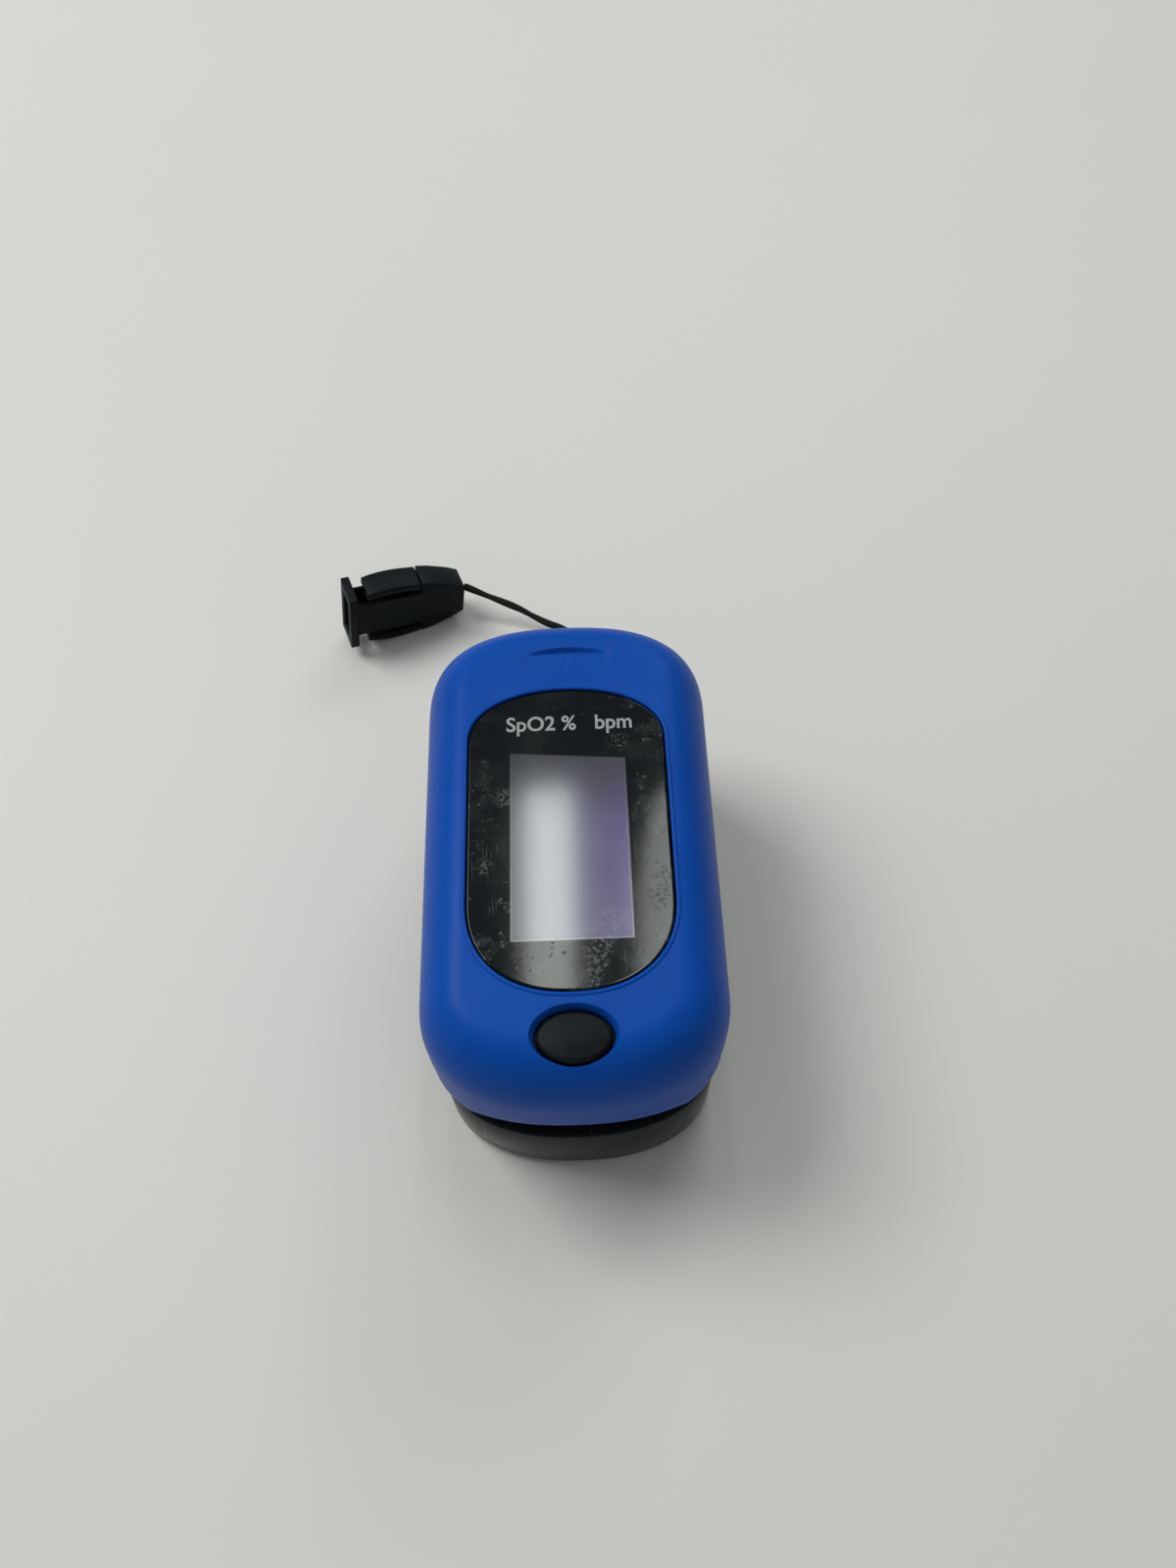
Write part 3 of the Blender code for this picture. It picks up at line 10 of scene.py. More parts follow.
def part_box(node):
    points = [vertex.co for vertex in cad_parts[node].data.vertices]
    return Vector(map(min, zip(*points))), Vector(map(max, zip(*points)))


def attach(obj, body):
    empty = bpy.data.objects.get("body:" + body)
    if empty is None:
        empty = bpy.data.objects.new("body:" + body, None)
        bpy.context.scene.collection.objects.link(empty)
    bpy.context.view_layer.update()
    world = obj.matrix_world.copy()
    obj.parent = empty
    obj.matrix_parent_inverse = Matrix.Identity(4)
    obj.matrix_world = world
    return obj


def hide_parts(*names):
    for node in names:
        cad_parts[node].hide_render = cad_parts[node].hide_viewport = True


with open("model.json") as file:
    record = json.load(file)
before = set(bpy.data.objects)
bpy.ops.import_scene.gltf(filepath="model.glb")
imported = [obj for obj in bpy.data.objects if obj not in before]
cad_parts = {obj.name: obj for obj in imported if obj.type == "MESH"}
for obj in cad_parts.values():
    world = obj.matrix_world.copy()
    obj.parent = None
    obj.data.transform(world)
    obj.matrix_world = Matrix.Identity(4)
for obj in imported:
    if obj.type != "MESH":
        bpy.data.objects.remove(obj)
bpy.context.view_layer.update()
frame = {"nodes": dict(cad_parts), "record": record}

MM = 0.001
NODES = frame["nodes"]
SLOT_OF = {entry["node"]: entry["material_slot"] for entry in frame["record"]["subparts"]}
BODY_OF = {node: body for body, nodes in frame["record"]["behaviour"]["bodies"].items() for node in nodes}

# ---- places read from the frame
COVER_HIGH = Vector(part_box("top_cover")[1])
SHELL_HIGH = Vector(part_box("lower_shell")[1])
WINDOW_LOW, WINDOW_HIGH = (Vector(corner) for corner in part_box("display_window"))
BUTTON_LOW, BUTTON_HIGH = (Vector(corner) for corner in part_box("power_button"))
DOOR_LOW, DOOR_HIGH = (Vector(corner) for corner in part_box("battery_door"))
UPPER_PAD_LOW, UPPER_PAD_HIGH = (Vector(corner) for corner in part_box("upper_finger_pad"))
LOWER_PAD_LOW, LOWER_PAD_HIGH = (Vector(corner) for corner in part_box("lower_finger_pad"))

# ---- shapes shared with the frame
GAP = 0.3 * MM
HALF_WIDTH = COVER_HIGH.x
HALF_LENGTH = COVER_HIGH.y
FRONT_CAP = 12.0 * MM
REAR_CAP = 12.0 * MM
FRONT_POWER = 2.3
REAR_POWER = 2.5
WINDOW_FRONT_CAP = 10.4 * MM
WINDOW_REAR_CAP = 6.6 * MM
WINDOW_FRONT_POWER = 2.3
WINDOW_REAR_POWER = 2.15
CAP_STEPS = 30
TOP_ROUND_IN = 5.6 * MM
TOP_ROUND_DOWN = 8.6 * MM
COVER_WALL = 1.6 * MM
FRONT_TUCK = 0.1 * MM
FACE_SINK = 0.2 * MM              # the cover's face lies this far below the window bead
COVER_TOP = COVER_HIGH.z - FACE_SINK
FACE_INSET = 8.0 * MM             # where the cover's flat face begins, in from its outline
WIDEST_Z = 21.5 * MM
SKIRT_Z = 19.6 * MM
FACE_CUT_Z = 29 * MM              # openings in the cover's face are cut from here up
LOWER_INSET = HALF_WIDTH - SHELL_HIGH.x
SHELL_WALL = 1.5 * MM
BOTTOM_ROUND = 1.5 * MM
FACE_Z = 14.6 * MM
UPPER_FACE_Z = 15.2 * MM
UPPER_SLOPE_START_Y = 15.5 * MM
LOWER_SLOPE_START_Y = 11.0 * MM
UPPER_REAR_RISE = 3.8 * MM
LOWER_REAR_DROP = 2.4 * MM
COVER_EDGE_ABOVE_FACE = 1.8 * MM
SHELL_EDGE_BELOW_FACE = 1.6 * MM
BUTTON_Y = (BUTTON_LOW.y + BUTTON_HIGH.y) / 2
BUTTON_HALF_X = 3.95 * MM
BUTTON_HALF_Y = 2.7 * MM
BUTTON_SINK = 0.15 * MM
BUTTON_EDGE = 0.55 * MM
BUTTON_PILLOW = 0.25 * MM
DISH_REACH_X = 0.75 * MM
DISH_REACH_Y = 0.7 * MM
DISH_DEPTH = 0.85 * MM

# ---- thumb rest
THUMB_X = 0.4 * MM
THUMB_HALF = 5.2 * MM
THUMB_REAR_Y = 23.9 * MM
THUMB_REAR_BOW = 0.9 * MM
THUMB_FRONT_Y = 18.6 * MM
THUMB_FRONT_BOW = 2.4 * MM
THUMB_WALL_RUN = 0.35 * MM
THUMB_DEPTH = 0.62 * MM
THUMB_CLEAR = 0.02 * MM

# ---- finger mouth
MOUTH_HALF = 13.0 * MM
MOUTH_TOP = 20.7 * MM
MOUTH_POWER = 2.4
MOUTH_STEPS = 40

# ---- label: its letters' height and width over all, and its middle on the window
LABEL_SIZE = 2.75 * MM
LABEL_WIDTH = 14.6 * MM
LABEL_X = 0.4 * MM
LABEL_Y = 13.0 * MM

# ---- lower shell's openings
DOOR_HALF = 11.0 * MM
DOOR_WELL_FRONT_Y = -27.3 * MM
RAIL_LOW_Z = 0.6 * MM
SCREW_SINK = 1.6 * MM             # radius and depth
EYE_HALF = 1.1 * MM
EYE_LOW_Z = 6.6 * MM
EYE_HIGH_Z = 9.0 * MM

# ---- cord route, as the frame's cord lies
CORD_DIAMETER = 1.1 * MM
CORD_ROUTE = (
    (0.0, 30.05, 7.8), (0.15, 31.6, 7.7), (0.8, 34.2, 6.8), (2.0, 37.2, 5.0), (3.2, 40.5, 3.2),
    (3.6, 44.0, 1.9), (3.0, 47.2, 1.4), (1.3, 49.6, 1.5), (-0.64, 50.9, 1.7), (-2.9, 51.8, 2.0),
    (-5.1, 52.95, 2.4), (-7.35, 54.1, 3.0), (-10.33, 55.2, 3.8), (-12.55, 55.95, 4.4),
    (-14.5, 56.7, 4.9), (-15.65, 57.15, 5.1))
TWIST_LENGTH = 14.0 * MM
CORD_FLAT_SHARE = 0.38            # half the band's thin side, as a share of the diameter
EYE_HOLE_X = 2.3 * MM

# ---- clasp, as the frame's clasp lies: start in millimetres, angles in degrees
CLASP_START = (-33.1, 51.17, 7.05)
CLASP_TURN = 20.2
CLASP_DIP = 9.2
ARM_ROOT_FROM = 10.4 * MM
ARM_ROOT_REACH = 0.27 * MM

# ---- finger pads
PAD_BED_HALF = 8.3 * MM
PAD_BED_POWER = 0.6
LOWER_BED_ABOVE = 0.8 * MM        # the lower bed's floor above the pad's underside
UPPER_BED_Z = 21.3 * MM
PAD_ROLL_RUN = 1.6 * MM
PAD_ROLL = 0.9 * MM
PAD_RIDGE = 0.11 * MM
PAD_RIDGE_PITCH = 2.1 * MM
PAD_INSET = 2.4 * MM              # the pads' sides, in from the body's outline
PAD_TIP_HALF = 1.2 * MM           # half the blunt front of a finger pad
OPTICS_HALF = 2.2 * MM
OPTICS_FRONT_Y = -10.2 * MM
OPTICS_REAR_Y = -5.8 * MM

# ---- the display's glow, where it shows on the window's face
GLOW_HALF_WIDTH = 6.6 * MM
GLOW_CENTRE_X = 0.1 * MM
GLOW_REAR_Y = 8.65 * MM
GLOW_REAR_SLANT = 0.08
GLOW_FRONT_Y = -14.1 * MM
GLOW_LENGTH = 22.8 * MM

# ---- rubbed places on the window: x, y and reach in millimetres
WINDOW_MARKS = ((6.0, 10.4, 1.8), (4.4, -12.2, 2.4), (1.9, -16.8, 2.4), (9.5, -6.6, 1.8), (9.5, -9.6, 2.0),
                (-9.5, -5.2, 1.4), (-7.0, 3.3, 1.6), (3.3, -14.9, 1.6), (-6.3, -10.0, 1.1))

# ---- camera: place in millimetres, angles in degrees, focal length as a share of the sensor
CAMERA_PLACE = (2.35, -65.05, 155.61)
CAMERA_OFF_VERTICAL = 29.81
CAMERA_ROLL = -2.15
SENSOR = 36.0
FOCAL_SHARE = 1264.9 / 1600

# ---- lamps in metres and watts: place, size across, size along, power
KEY_LAMP = ((-0.56, 0.30, 0.86), 0.50, 0.50, 6.5)
REAR_LAMP = ((0.45, 0.95, 0.9), 0.6, 0.4, 2.6)
BAND_LAMP = ((-0.0250, 0.2665, 0.64), 0.031, 0.167, 0.18)
OVAL_LAMP = ((0.062, 0.200, 0.64), 0.064, 0.300, 0.35)
LAMP_AIM = (0.0, 0.0, 0.02)
ROOM_LIGHT = 0.28


# ================================================================ camera and light

def make_camera():
    """A camera above the front edge, tipped well down onto the window."""
    place = Vector(CAMERA_PLACE) * MM
    off_vertical = math.radians(CAMERA_OFF_VERTICAL)
    roll = math.radians(CAMERA_ROLL)
    forward = Vector((0.0, math.sin(off_vertical), -math.cos(off_vertical)))
    right = Vector((1.0, 0.0, 0.0))
    up = right.cross(forward)
    turned_right = right * math.cos(roll) + up * math.sin(roll)
    turned_up = up * math.cos(roll) - right * math.sin(roll)
    camera = bpy.data.objects.new("camera", bpy.data.cameras.new("camera"))
    rotation = Matrix((turned_right, turned_up, -forward)).transposed()
    camera.matrix_world = Matrix.Translation(place) @ rotation.to_4x4()
    camera.data.sensor_width = SENSOR
    camera.data.lens = SENSOR * FOCAL_SHARE
    camera.data.clip_start = 0.001
    bpy.context.scene.collection.objects.link(camera)
    bpy.context.scene.camera = camera


def make_light(name, lamp, target, shape="RECTANGLE"):
    """An area lamp that faces a target; with no target it faces straight down."""
    place, size_x, size_y, power = lamp
    light = bpy.data.lights.new(name, "AREA")
    light.shape = shape
    light.size = size_x
    light.size_y = size_y
    light.energy = power
    item = bpy.data.objects.new(name, light)
    item.location = place
    if target:
        item.rotation_euler = (Vector(target) - Vector(place)).to_track_quat("-Z", "Y").to_euler()
    bpy.context.scene.collection.objects.link(item)
    return item


def make_lights():
    """A large soft lamp high on the left, a weak rear fill, and two lamps seen mirrored in the window."""
    world = bpy.data.worlds.new("studio")
    world.use_nodes = True
    room = world.node_tree.nodes["Background"]
    room.inputs["Color"].default_value = (0.97, 1.0, 1.0, 1.0)
    room.inputs["Strength"].default_value = ROOM_LIGHT
    bpy.context.scene.world = world
    make_light("key", KEY_LAMP, LAMP_AIM)
    make_light("rear_fill", REAR_LAMP, LAMP_AIM)
    band = make_light("band_lamp_left", BAND_LAMP, None)
    oval_lamp = make_light("oval_lamp_right", OVAL_LAMP, None, "ELLIPSE")
    for lamp in (band, oval_lamp):
        lamp.data.color = (0.95, 1.0, 0.95)


def make_floor():
    """The table top, a hair below the object's lowest points."""
    mesh = bmesh.new()
    bmesh.ops.create_grid(mesh, x_segments=1, y_segments=1, size=2.0)
    floor = to_object("table", mesh)
    floor.location.z = -0.00002
    floor.data.materials.append(table_finish())


# ================================================================ finishes

class Value:
    """A shader socket that takes part in sums."""

    def __init__(self, finish, socket):
        self.finish = finish
        self.socket = socket

    def _sum(self, operation, first, second=None):
        values = {0: first}
        if second is not None:
            values[1] = second
        return self.finish.add("ShaderNodeMath", {"operation": operation}, values)

    def __add__(self, other):
        return self._sum("ADD", self, other)

    __radd__ = __add__

    def __sub__(self, other):
        return self._sum("SUBTRACT", self, other)

    def __rsub__(self, other):
        return self._sum("SUBTRACT", other, self)

    def __mul__(self, other):
        return self._sum("MULTIPLY", self, other)

    __rmul__ = __mul__

    def __truediv__(self, other):
        return self._sum("DIVIDE", self, other)

    def absolute(self):
        return self._sum("ABSOLUTE", self)

    def smooth_between(self, low, high):
        """0 below low, 1 above high, with a soft step between."""
        return self.finish.add("ShaderNodeMapRange", {"interpolation_type": "SMOOTHSTEP"},
                               {"Value": self, "From Min": low, "From Max": high})


class Finish:
    """A material under construction, on one Principled shader."""

    def __init__(self, name, colour, roughness, metallic=0.0, **uniform):
        self.material = bpy.data.materials.new(name)
        self.material.use_nodes = True
        self.nodes = self.material.node_tree.nodes
        self.links = self.material.node_tree.links
        self.shader = self.nodes["Principled BSDF"]
        self.set("Base Color", (*colour, 1.0))
        self.set("Roughness", roughness)
        self.set("Metallic", metallic)
        for label, value in uniform.items():
            self.set(label.replace("_", " "), value)
        self.place = self.add("ShaderNodeTexCoord", {}, {}, "Object")

    def set(self, label, value):
        self.fill(self.shader.inputs[label], value)

    def fill(self, socket, value):
        if isinstance(value, Value):
            self.links.new(value.socket, socket)
        else:
            socket.default_value = value

    def add(self, kind, settings, sockets, output=0):
        node = self.nodes.new(kind)
        for label, value in settings.items():
            setattr(node, label, value)
        for label, value in sockets.items():
            self.fill(node.inputs[label], value)
        return Value(self, node.outputs[output])

    def stretched(self, scale, turn=(0.0, 0.0, 0.0), shift=(0.0, 0.0, 0.0)):
        return self.add("ShaderNodeMapping", {}, {"Vector": self.place, "Scale": scale, "Rotation": turn,
                                                  "Location": shift})

    def noise(self, scale, detail=3.0, roughness=0.55, vector=None, distortion=0.0):
        return self.add("ShaderNodeTexNoise", {}, {
            "Vector": vector or self.place, "Scale": scale, "Detail": detail, "Roughness": roughness,
            "Distortion": distortion})

    def cells(self, scale, vector=None, feature="F1", randomness=1.0):
        return self.add("ShaderNodeTexVoronoi", {"feature": feature}, {
            "Vector": vector or self.place, "Scale": scale, "Randomness": randomness}, "Distance")

    def mix(self, share, first, second):
        node = self.nodes.new("ShaderNodeMix")
        node.data_type = "RGBA"
        self.fill(node.inputs[0], share)
        for index, colour in ((6, first), (7, second)):
            self.fill(node.inputs[index], colour if isinstance(colour, Value) else (*colour, 1.0))
        return Value(self, node.outputs[2])

    def axis(self, index):
        return self.add("ShaderNodeSeparateXYZ", {}, {0: self.place}, index)

    def bump(self, height, distance, strength=1.0):
        self.set("Normal", self.add("ShaderNodeBump", {}, {
            "Height": height, "Distance": distance, "Strength": strength}))

    def ragged_mark_at(self, place, radius, grain=900.0):
        """A broken, ragged mark round one point, given in millimetres; 1 on the mark: a rubbed place, and on
        the blue cover also a painted highlight.
        """
        reach = self.add("ShaderNodeVectorMath", {"operation": "DISTANCE"}, {
            0: self.place, 1: tuple(value * MM for value in place)}, "Value")
        ragged = self.noise(grain, 5.0, 0.75)
        near = 1.0 - reach.smooth_between(0.2 * radius * MM, radius * MM)
        return near * ragged.smooth_between(0.50, 0.60)

    def scratches(self, turn, density=0.66):
        """Hair-thin marks that all run about one way; 1 on a mark."""
        along = self.stretched((5200.0, 240.0, 1600.0), (0.0, 0.0, turn))
        lines = self.noise(1.0, 2.0, 0.5, along)
        patches = self.noise(170.0, 2.0, 0.5)
        return lines.smooth_between(density, density + 0.05) * patches.smooth_between(0.52, 0.62)


def blue_finish():
    """Satin moulded plastic: even colour, faint handling haze, hair scratches, and a few pale scuffs on the
    right side and the front edge that are partly painted highlight.
    """
    finish = Finish("blue_plastic", (0.0015, 0.060, 0.33), 0.33, Specular_IOR_Level=0.08)
    haze = finish.noise(55.0, 4.0, 0.6)
    mottle = finish.noise(210.0, 3.0, 0.6)
    scratch = finish.scratches(0.5) + finish.scratches(-0.9, 0.68)
    speck = finish.noise(420.0, 5.0, 0.7).smooth_between(0.70, 0.76)
    body = finish.mix(haze.smooth_between(0.3, 0.7) * 0.5 + mottle * 0.2,
                      (0.0013, 0.058, 0.345), (0.0035, 0.075, 0.405))
    # Pale rough patches on the right side and at the front edge: partly scuffs, partly painted highlight.
    scuffs_and_painted_highlights = (finish.ragged_mark_at((16.6, 3.5, 24.0), 1.5) + finish.ragged_mark_at((1.6, -29.9, 19.5), 1.3)
             + finish.ragged_mark_at((15.2, -21.0, 20.0), 1.6))
    # Pale blue painted over the scratches and specks, and over the patches as scuff and painted highlight.
    worn = finish.mix(scratch * 0.10 + speck * 0.2 + scuffs_and_painted_highlights * 0.75, body, (0.11, 0.17, 0.33))
    finish.set("Base Color", worn)
    finish.set("Roughness", 0.33 + haze * 0.10 + scratch * 0.12 + scuffs_and_painted_highlights * 0.2)
    finish.bump(finish.noise(2600.0, 2.0) * 0.5 + mottle * 0.6 - scratch * 0.8 - scuffs_and_painted_highlights, 0.00003, 0.35)
    return finish.material


def grey_finish():
    """Glossy dark grey plastic with fine rubbing marks."""
    finish = Finish("grey_plastic", (0.006, 0.008, 0.0095), 0.2, Specular_IOR_Level=0.08)
    haze = finish.noise(70.0, 4.0, 0.6)
    scratch = finish.scratches(1.3) + finish.scratches(0.2, 0.67)
    body = finish.mix(haze, (0.006, 0.0085, 0.0105), (0.010, 0.0135, 0.016))
    finish.set("Base Color", finish.mix(scratch * 0.4, body, (0.08, 0.085, 0.09)))
    finish.set("Roughness", 0.16 + haze * 0.14 + scratch * 0.2)
    finish.bump(finish.noise(1900.0, 2.0) - scratch * 0.6, 0.00002, 0.3)
    return finish.material


def black_finish(name="black_plastic", grain=2400.0, roughness=0.44, colour=(0.0045, 0.0070, 0.0088)):
    """Fine-grained black plastic, greyer where it is rubbed."""
    finish = Finish(name, colour, roughness, Specular_IOR_Level=0.10)
    haze = finish.noise(120.0, 4.0, 0.6)
    grain_height = finish.cells(grain)
    pale = tuple(channel * 1.9 for channel in colour)
    finish.set("Base Color", finish.mix(haze.smooth_between(0.4, 0.75) * 0.6, colour, pale))
    finish.set("Roughness", (roughness - 0.08) + haze * 0.18)
    finish.bump(grain_height + haze * 0.4, 0.00004, 0.35)
    return finish.material


def window_finish():
    """Polished smoked acrylic: a lilac-grey display glows through, under dust, smears and scratches."""
    finish = Finish("window_plastic", (0.0015, 0.0035, 0.005), 0.07, Coat_Roughness=0.09,
                    Specular_IOR_Level=0.30)
    x = finish.axis(0)
    y = finish.axis(1)
    edge = 0.10 * MM
    line = 0.30 * MM
    side_x = GLOW_HALF_WIDTH - (x - GLOW_CENTRE_X).absolute()
    side_top = (GLOW_REAR_Y - x * GLOW_REAR_SLANT) - y
    side_bottom = y - GLOW_FRONT_Y
    display = (side_x.smooth_between(-edge, edge) * side_top.smooth_between(-edge, edge)
               * side_bottom.smooth_between(-edge, edge))
    inside_border = side_x.smooth_between(0.1 * MM, line) * side_bottom.smooth_between(0.1 * MM, line)
    border = display * (1.0 - inside_border)
    smear = finish.noise(95.0, 5.0, 0.65)
    fine = finish.noise(1500.0, 4.0, 0.7)
    wear = (x.smooth_between(6.0 * MM, 9.0 * MM) + (0.0 - y).smooth_between(10.0 * MM, 15.0 * MM)
            + (0.0 - x).smooth_between(6.5 * MM, 9.0 * MM) * 0.4)
    grit = finish.noise(1100.0, 6.0, 0.75, distortion=0.6)
    patch = finish.noise(260.0, 4.0, 0.7).smooth_between(0.50, 0.64)
    dust = (finish.cells(1200.0).smooth_between(0.22, 0.10) * 0.6 + grit.smooth_between(0.60, 0.66)) * patch
    dust = dust * (wear * 0.8 + 0.25)
    for mark_x, mark_y, radius in WINDOW_MARKS:
        dust = dust + finish.ragged_mark_at((mark_x, mark_y, WINDOW_HIGH.z / MM), radius, 2600.0) * 0.45
    scratch = finish.scratches(0.15, 0.64) + finish.scratches(1.2, 0.66)
    near = 1.0 - side_bottom / GLOW_LENGTH
    across = x / GLOW_HALF_WIDTH * 0.5 + 0.5
    upper_tone = finish.mix(across, (0.030, 0.034, 0.046), (0.055, 0.052, 0.070))
    lower_tone = finish.mix(across, (0.095, 0.110, 0.125), (0.105, 0.082, 0.215))
    lilac = finish.mix(near.smooth_between(0.0, 0.5) + (smear - 0.5) * 0.25, upper_tone, lower_tone)
    tone = finish.mix(border * 0.45 * near, lilac, (0.30, 0.31, 0.29))
    glass = finish.mix(display, (0.0012, 0.0032, 0.0048), tone)
    veil = finish.mix(smear.smooth_between(0.5, 0.8) * 0.03 + patch * wear * 0.05, glass, (0.33, 0.36, 0.33))
    finish.set("Base Color", finish.mix(dust * 0.30, veil, (0.30, 0.32, 0.30)))
    finish.set("Roughness", 0.05 + smear * 0.05 + display * 0.03 + dust * 0.6 + scratch * 0.05)
    finish.set("Coat Weight", display * 0.75)
    finish.bump(fine * 0.3 - scratch * 0.25 - dust * 0.5, 0.00001, 0.25)
    return finish.material


def label_finish():
    finish = Finish("label_print", (0.33, 0.36, 0.36), 0.45)
    worn = finish.noise(1700.0, 4.0, 0.7)
    rubbed = worn.smooth_between(0.5, 0.7) * 0.5
    finish.set("Base Color", finish.mix(rubbed, (0.27, 0.31, 0.31), (0.11, 0.13, 0.13)))
    finish.bump(worn, 0.00001, 0.3)
    return finish.material


def rubber_finish():
    """Soft silicone: matt, with a velvety bloom and fine grain."""
    finish = Finish("pad_silicone", (0.018, 0.02, 0.022), 0.68, Sheen_Weight=0.25, Sheen_Roughness=0.5)
    bloom = finish.noise(300.0, 4.0, 0.6)
    finish.set("Base Color", finish.mix(bloom, (0.014, 0.016, 0.018), (0.03, 0.032, 0.035)))
    finish.set("Roughness", 0.6 + bloom * 0.2)
    finish.bump(finish.cells(1800.0) + bloom, 0.00004, 0.4)
    return finish.material


def steel_finish():
    """Nickel-plated steel, drawn along its length."""
    finish = Finish("plated_steel", (0.60, 0.60, 0.57), 0.26, 1.0)
    drawn = finish.noise(1.0, 3.0, 0.6, finish.stretched((2200.0, 260.0, 2200.0)))
    tarnish = finish.noise(380.0, 4.0, 0.6)
    dulled = tarnish.smooth_between(0.45, 0.8) * 0.5
    finish.set("Base Color", finish.mix(dulled, (0.62, 0.61, 0.58), (0.40, 0.37, 0.32)))
    finish.set("Roughness", 0.16 + drawn * 0.2 + tarnish * 0.1)
    finish.bump(drawn, 0.00002, 0.3)
    return finish.material


def board_finish():
    """Green solder mask over copper tracks, with tinned pads."""
    finish = Finish("circuit_board", (0.01, 0.1, 0.035), 0.35, Coat_Weight=0.4, Coat_Roughness=0.15)
    tracks = finish.add("ShaderNodeTexBrick", {"offset": 0.35, "squash": 0.7}, {
        "Vector": finish.place, "Scale": 520.0, "Mortar Size": 0.10, "Bias": 0.0}, "Fac")
    pads = finish.cells(620.0).smooth_between(0.20, 0.14)
    mask = finish.mix(tracks, (0.008, 0.085, 0.03), (0.016, 0.16, 0.05))
    finish.set("Base Color", finish.mix(pads, mask, (0.62, 0.60, 0.52)))
    finish.set("Metallic", pads * 0.9)
    finish.set("Roughness", 0.38 - tracks * 0.1)
    finish.bump(tracks + pads, 0.00003, 0.5)
    return finish.material


def cell_finish():
    """A battery's film jacket: a dark green band and a pale metallic band, with fine crease lines."""
    finish = Finish("cell_jacket", (0.03, 0.16, 0.07), 0.3, 0.3, Coat_Weight=0.5, Coat_Roughness=0.12)
    y = finish.axis(1)
    band = y.smooth_between(4.0 * MM, 4.3 * MM)
    crease = finish.noise(1.0, 3.0, 0.6, finish.stretched((300.0, 1800.0, 300.0)))
    body = finish.mix(band, (0.02, 0.13, 0.055), (0.45, 0.40, 0.22))
    finish.set("Base Color", finish.mix(crease * 0.25, body, (0.08, 0.1, 0.08)))
    finish.set("Roughness", 0.24 + crease * 0.14)
    finish.bump(crease, 0.00003, 0.3)
    return finish.material


def resin_finish():
    finish = Finish("lamp_resin", (0.5, 0.12, 0.1), 0.12, Coat_Weight=0.5)
    cloud = finish.noise(900.0, 3.0)
    finish.set("Base Color", finish.mix(cloud, (0.55, 0.16, 0.12), (0.34, 0.06, 0.05)))
    finish.set("Roughness", 0.1 + cloud * 0.1)
    return finish.material


def film_finish():
    finish = Finish("flex_film", (0.42, 0.19, 0.03), 0.32, Coat_Weight=0.3)
    lines = finish.add("ShaderNodeTexWave", {"bands_direction": "X"}, {
        "Vector": finish.place, "Scale": 480.0})
    track = lines.smooth_between(0.4, 0.6)
    finish.set("Base Color", finish.mix(track, (0.46, 0.2, 0.03), (0.62, 0.33, 0.14)))
    finish.set("Roughness", 0.26 + lines * 0.12)
    finish.bump(lines, 0.00002, 0.4)
    return finish.material


def cord_finish():
    """Braided black cord; the weave follows the piece's own map."""
    finish = Finish("cord_fibre", (0.009, 0.011, 0.011), 0.8, Sheen_Weight=0.12, Sheen_Roughness=0.45,
                    Specular_IOR_Level=0.15)
    mapped = finish.add("ShaderNodeTexCoord", {}, {}, "UV")
    first = finish.add("ShaderNodeTexWave", {"bands_direction": "DIAGONAL"}, {
        "Vector": finish.add("ShaderNodeMapping", {}, {"Vector": mapped, "Scale": (3.0, 52.0, 1.0)}),
        "Scale": 1.0, "Distortion": 0.4})
    second = finish.add("ShaderNodeTexWave", {"bands_direction": "DIAGONAL"}, {
        "Vector": finish.add("ShaderNodeMapping", {}, {"Vector": mapped, "Scale": (-3.0, 52.0, 1.0)}),
        "Scale": 1.0, "Distortion": 0.4})
    weave = first * second
    fuzz = finish.noise(2600.0, 4.0, 0.7)
    pale = weave * 0.7 + fuzz * 0.3
    finish.set("Base Color", finish.mix(pale, (0.004, 0.0055, 0.0055), (0.024, 0.029, 0.028)))
    finish.set("Roughness", 0.7 + fuzz * 0.2)
    finish.bump(weave + fuzz * 0.4, 0.00012, 0.6)
    return finish.material


def table_finish():
    """A pale painted table top with a faint mottle."""
    finish = Finish("table_top", (0.66, 0.655, 0.63), 0.55)
    cloud = finish.noise(9.0, 4.0, 0.6)
    grain = finish.noise(600.0, 3.0, 0.6)
    finish.set("Base Color", finish.mix(cloud * 0.6 + grain * 0.2, (0.635, 0.63, 0.605), (0.69, 0.683, 0.65)))
    finish.set("Roughness", 0.5 + grain * 0.15)
    finish.bump(grain, 0.00003, 0.15)
    return finish.material


def make_finishes():
    chip = black_finish("chip_epoxy", 1500.0, 0.5, (0.02, 0.02, 0.021))
    return {
        "blue_shell": blue_finish(), "grey_shell": grey_finish(), "window": window_finish(),
        "gasket_foam": black_finish("gasket_foam", 900.0, 0.85, (0.015, 0.015, 0.015)),
        "display": black_finish("display_face", 3000.0, 0.2, (0.08, 0.08, 0.1)),
        "circuit_board": board_finish(), "chip_epoxy": chip, "steel": steel_finish(),
        "black_plastic": black_finish(), "pad_rubber": rubber_finish(), "clear_resin": resin_finish(),
        "cell_jacket": cell_finish(), "flex_film": film_finish(), "cord_fibre": cord_finish()}


# ================================================================ mesh helpers

def end_quarter(half_width, depth, power, steps):
    """A quarter of a rounded end, from its side to its tip; a higher power is squarer."""
    points = []
    for step in range(steps + 1):
        angle = math.pi / 2 * step / steps
        points.append((half_width * math.cos(angle) ** (2 / power), depth * math.sin(angle) ** (2 / power)))
    points[-1] = (0.0, depth)
    return points


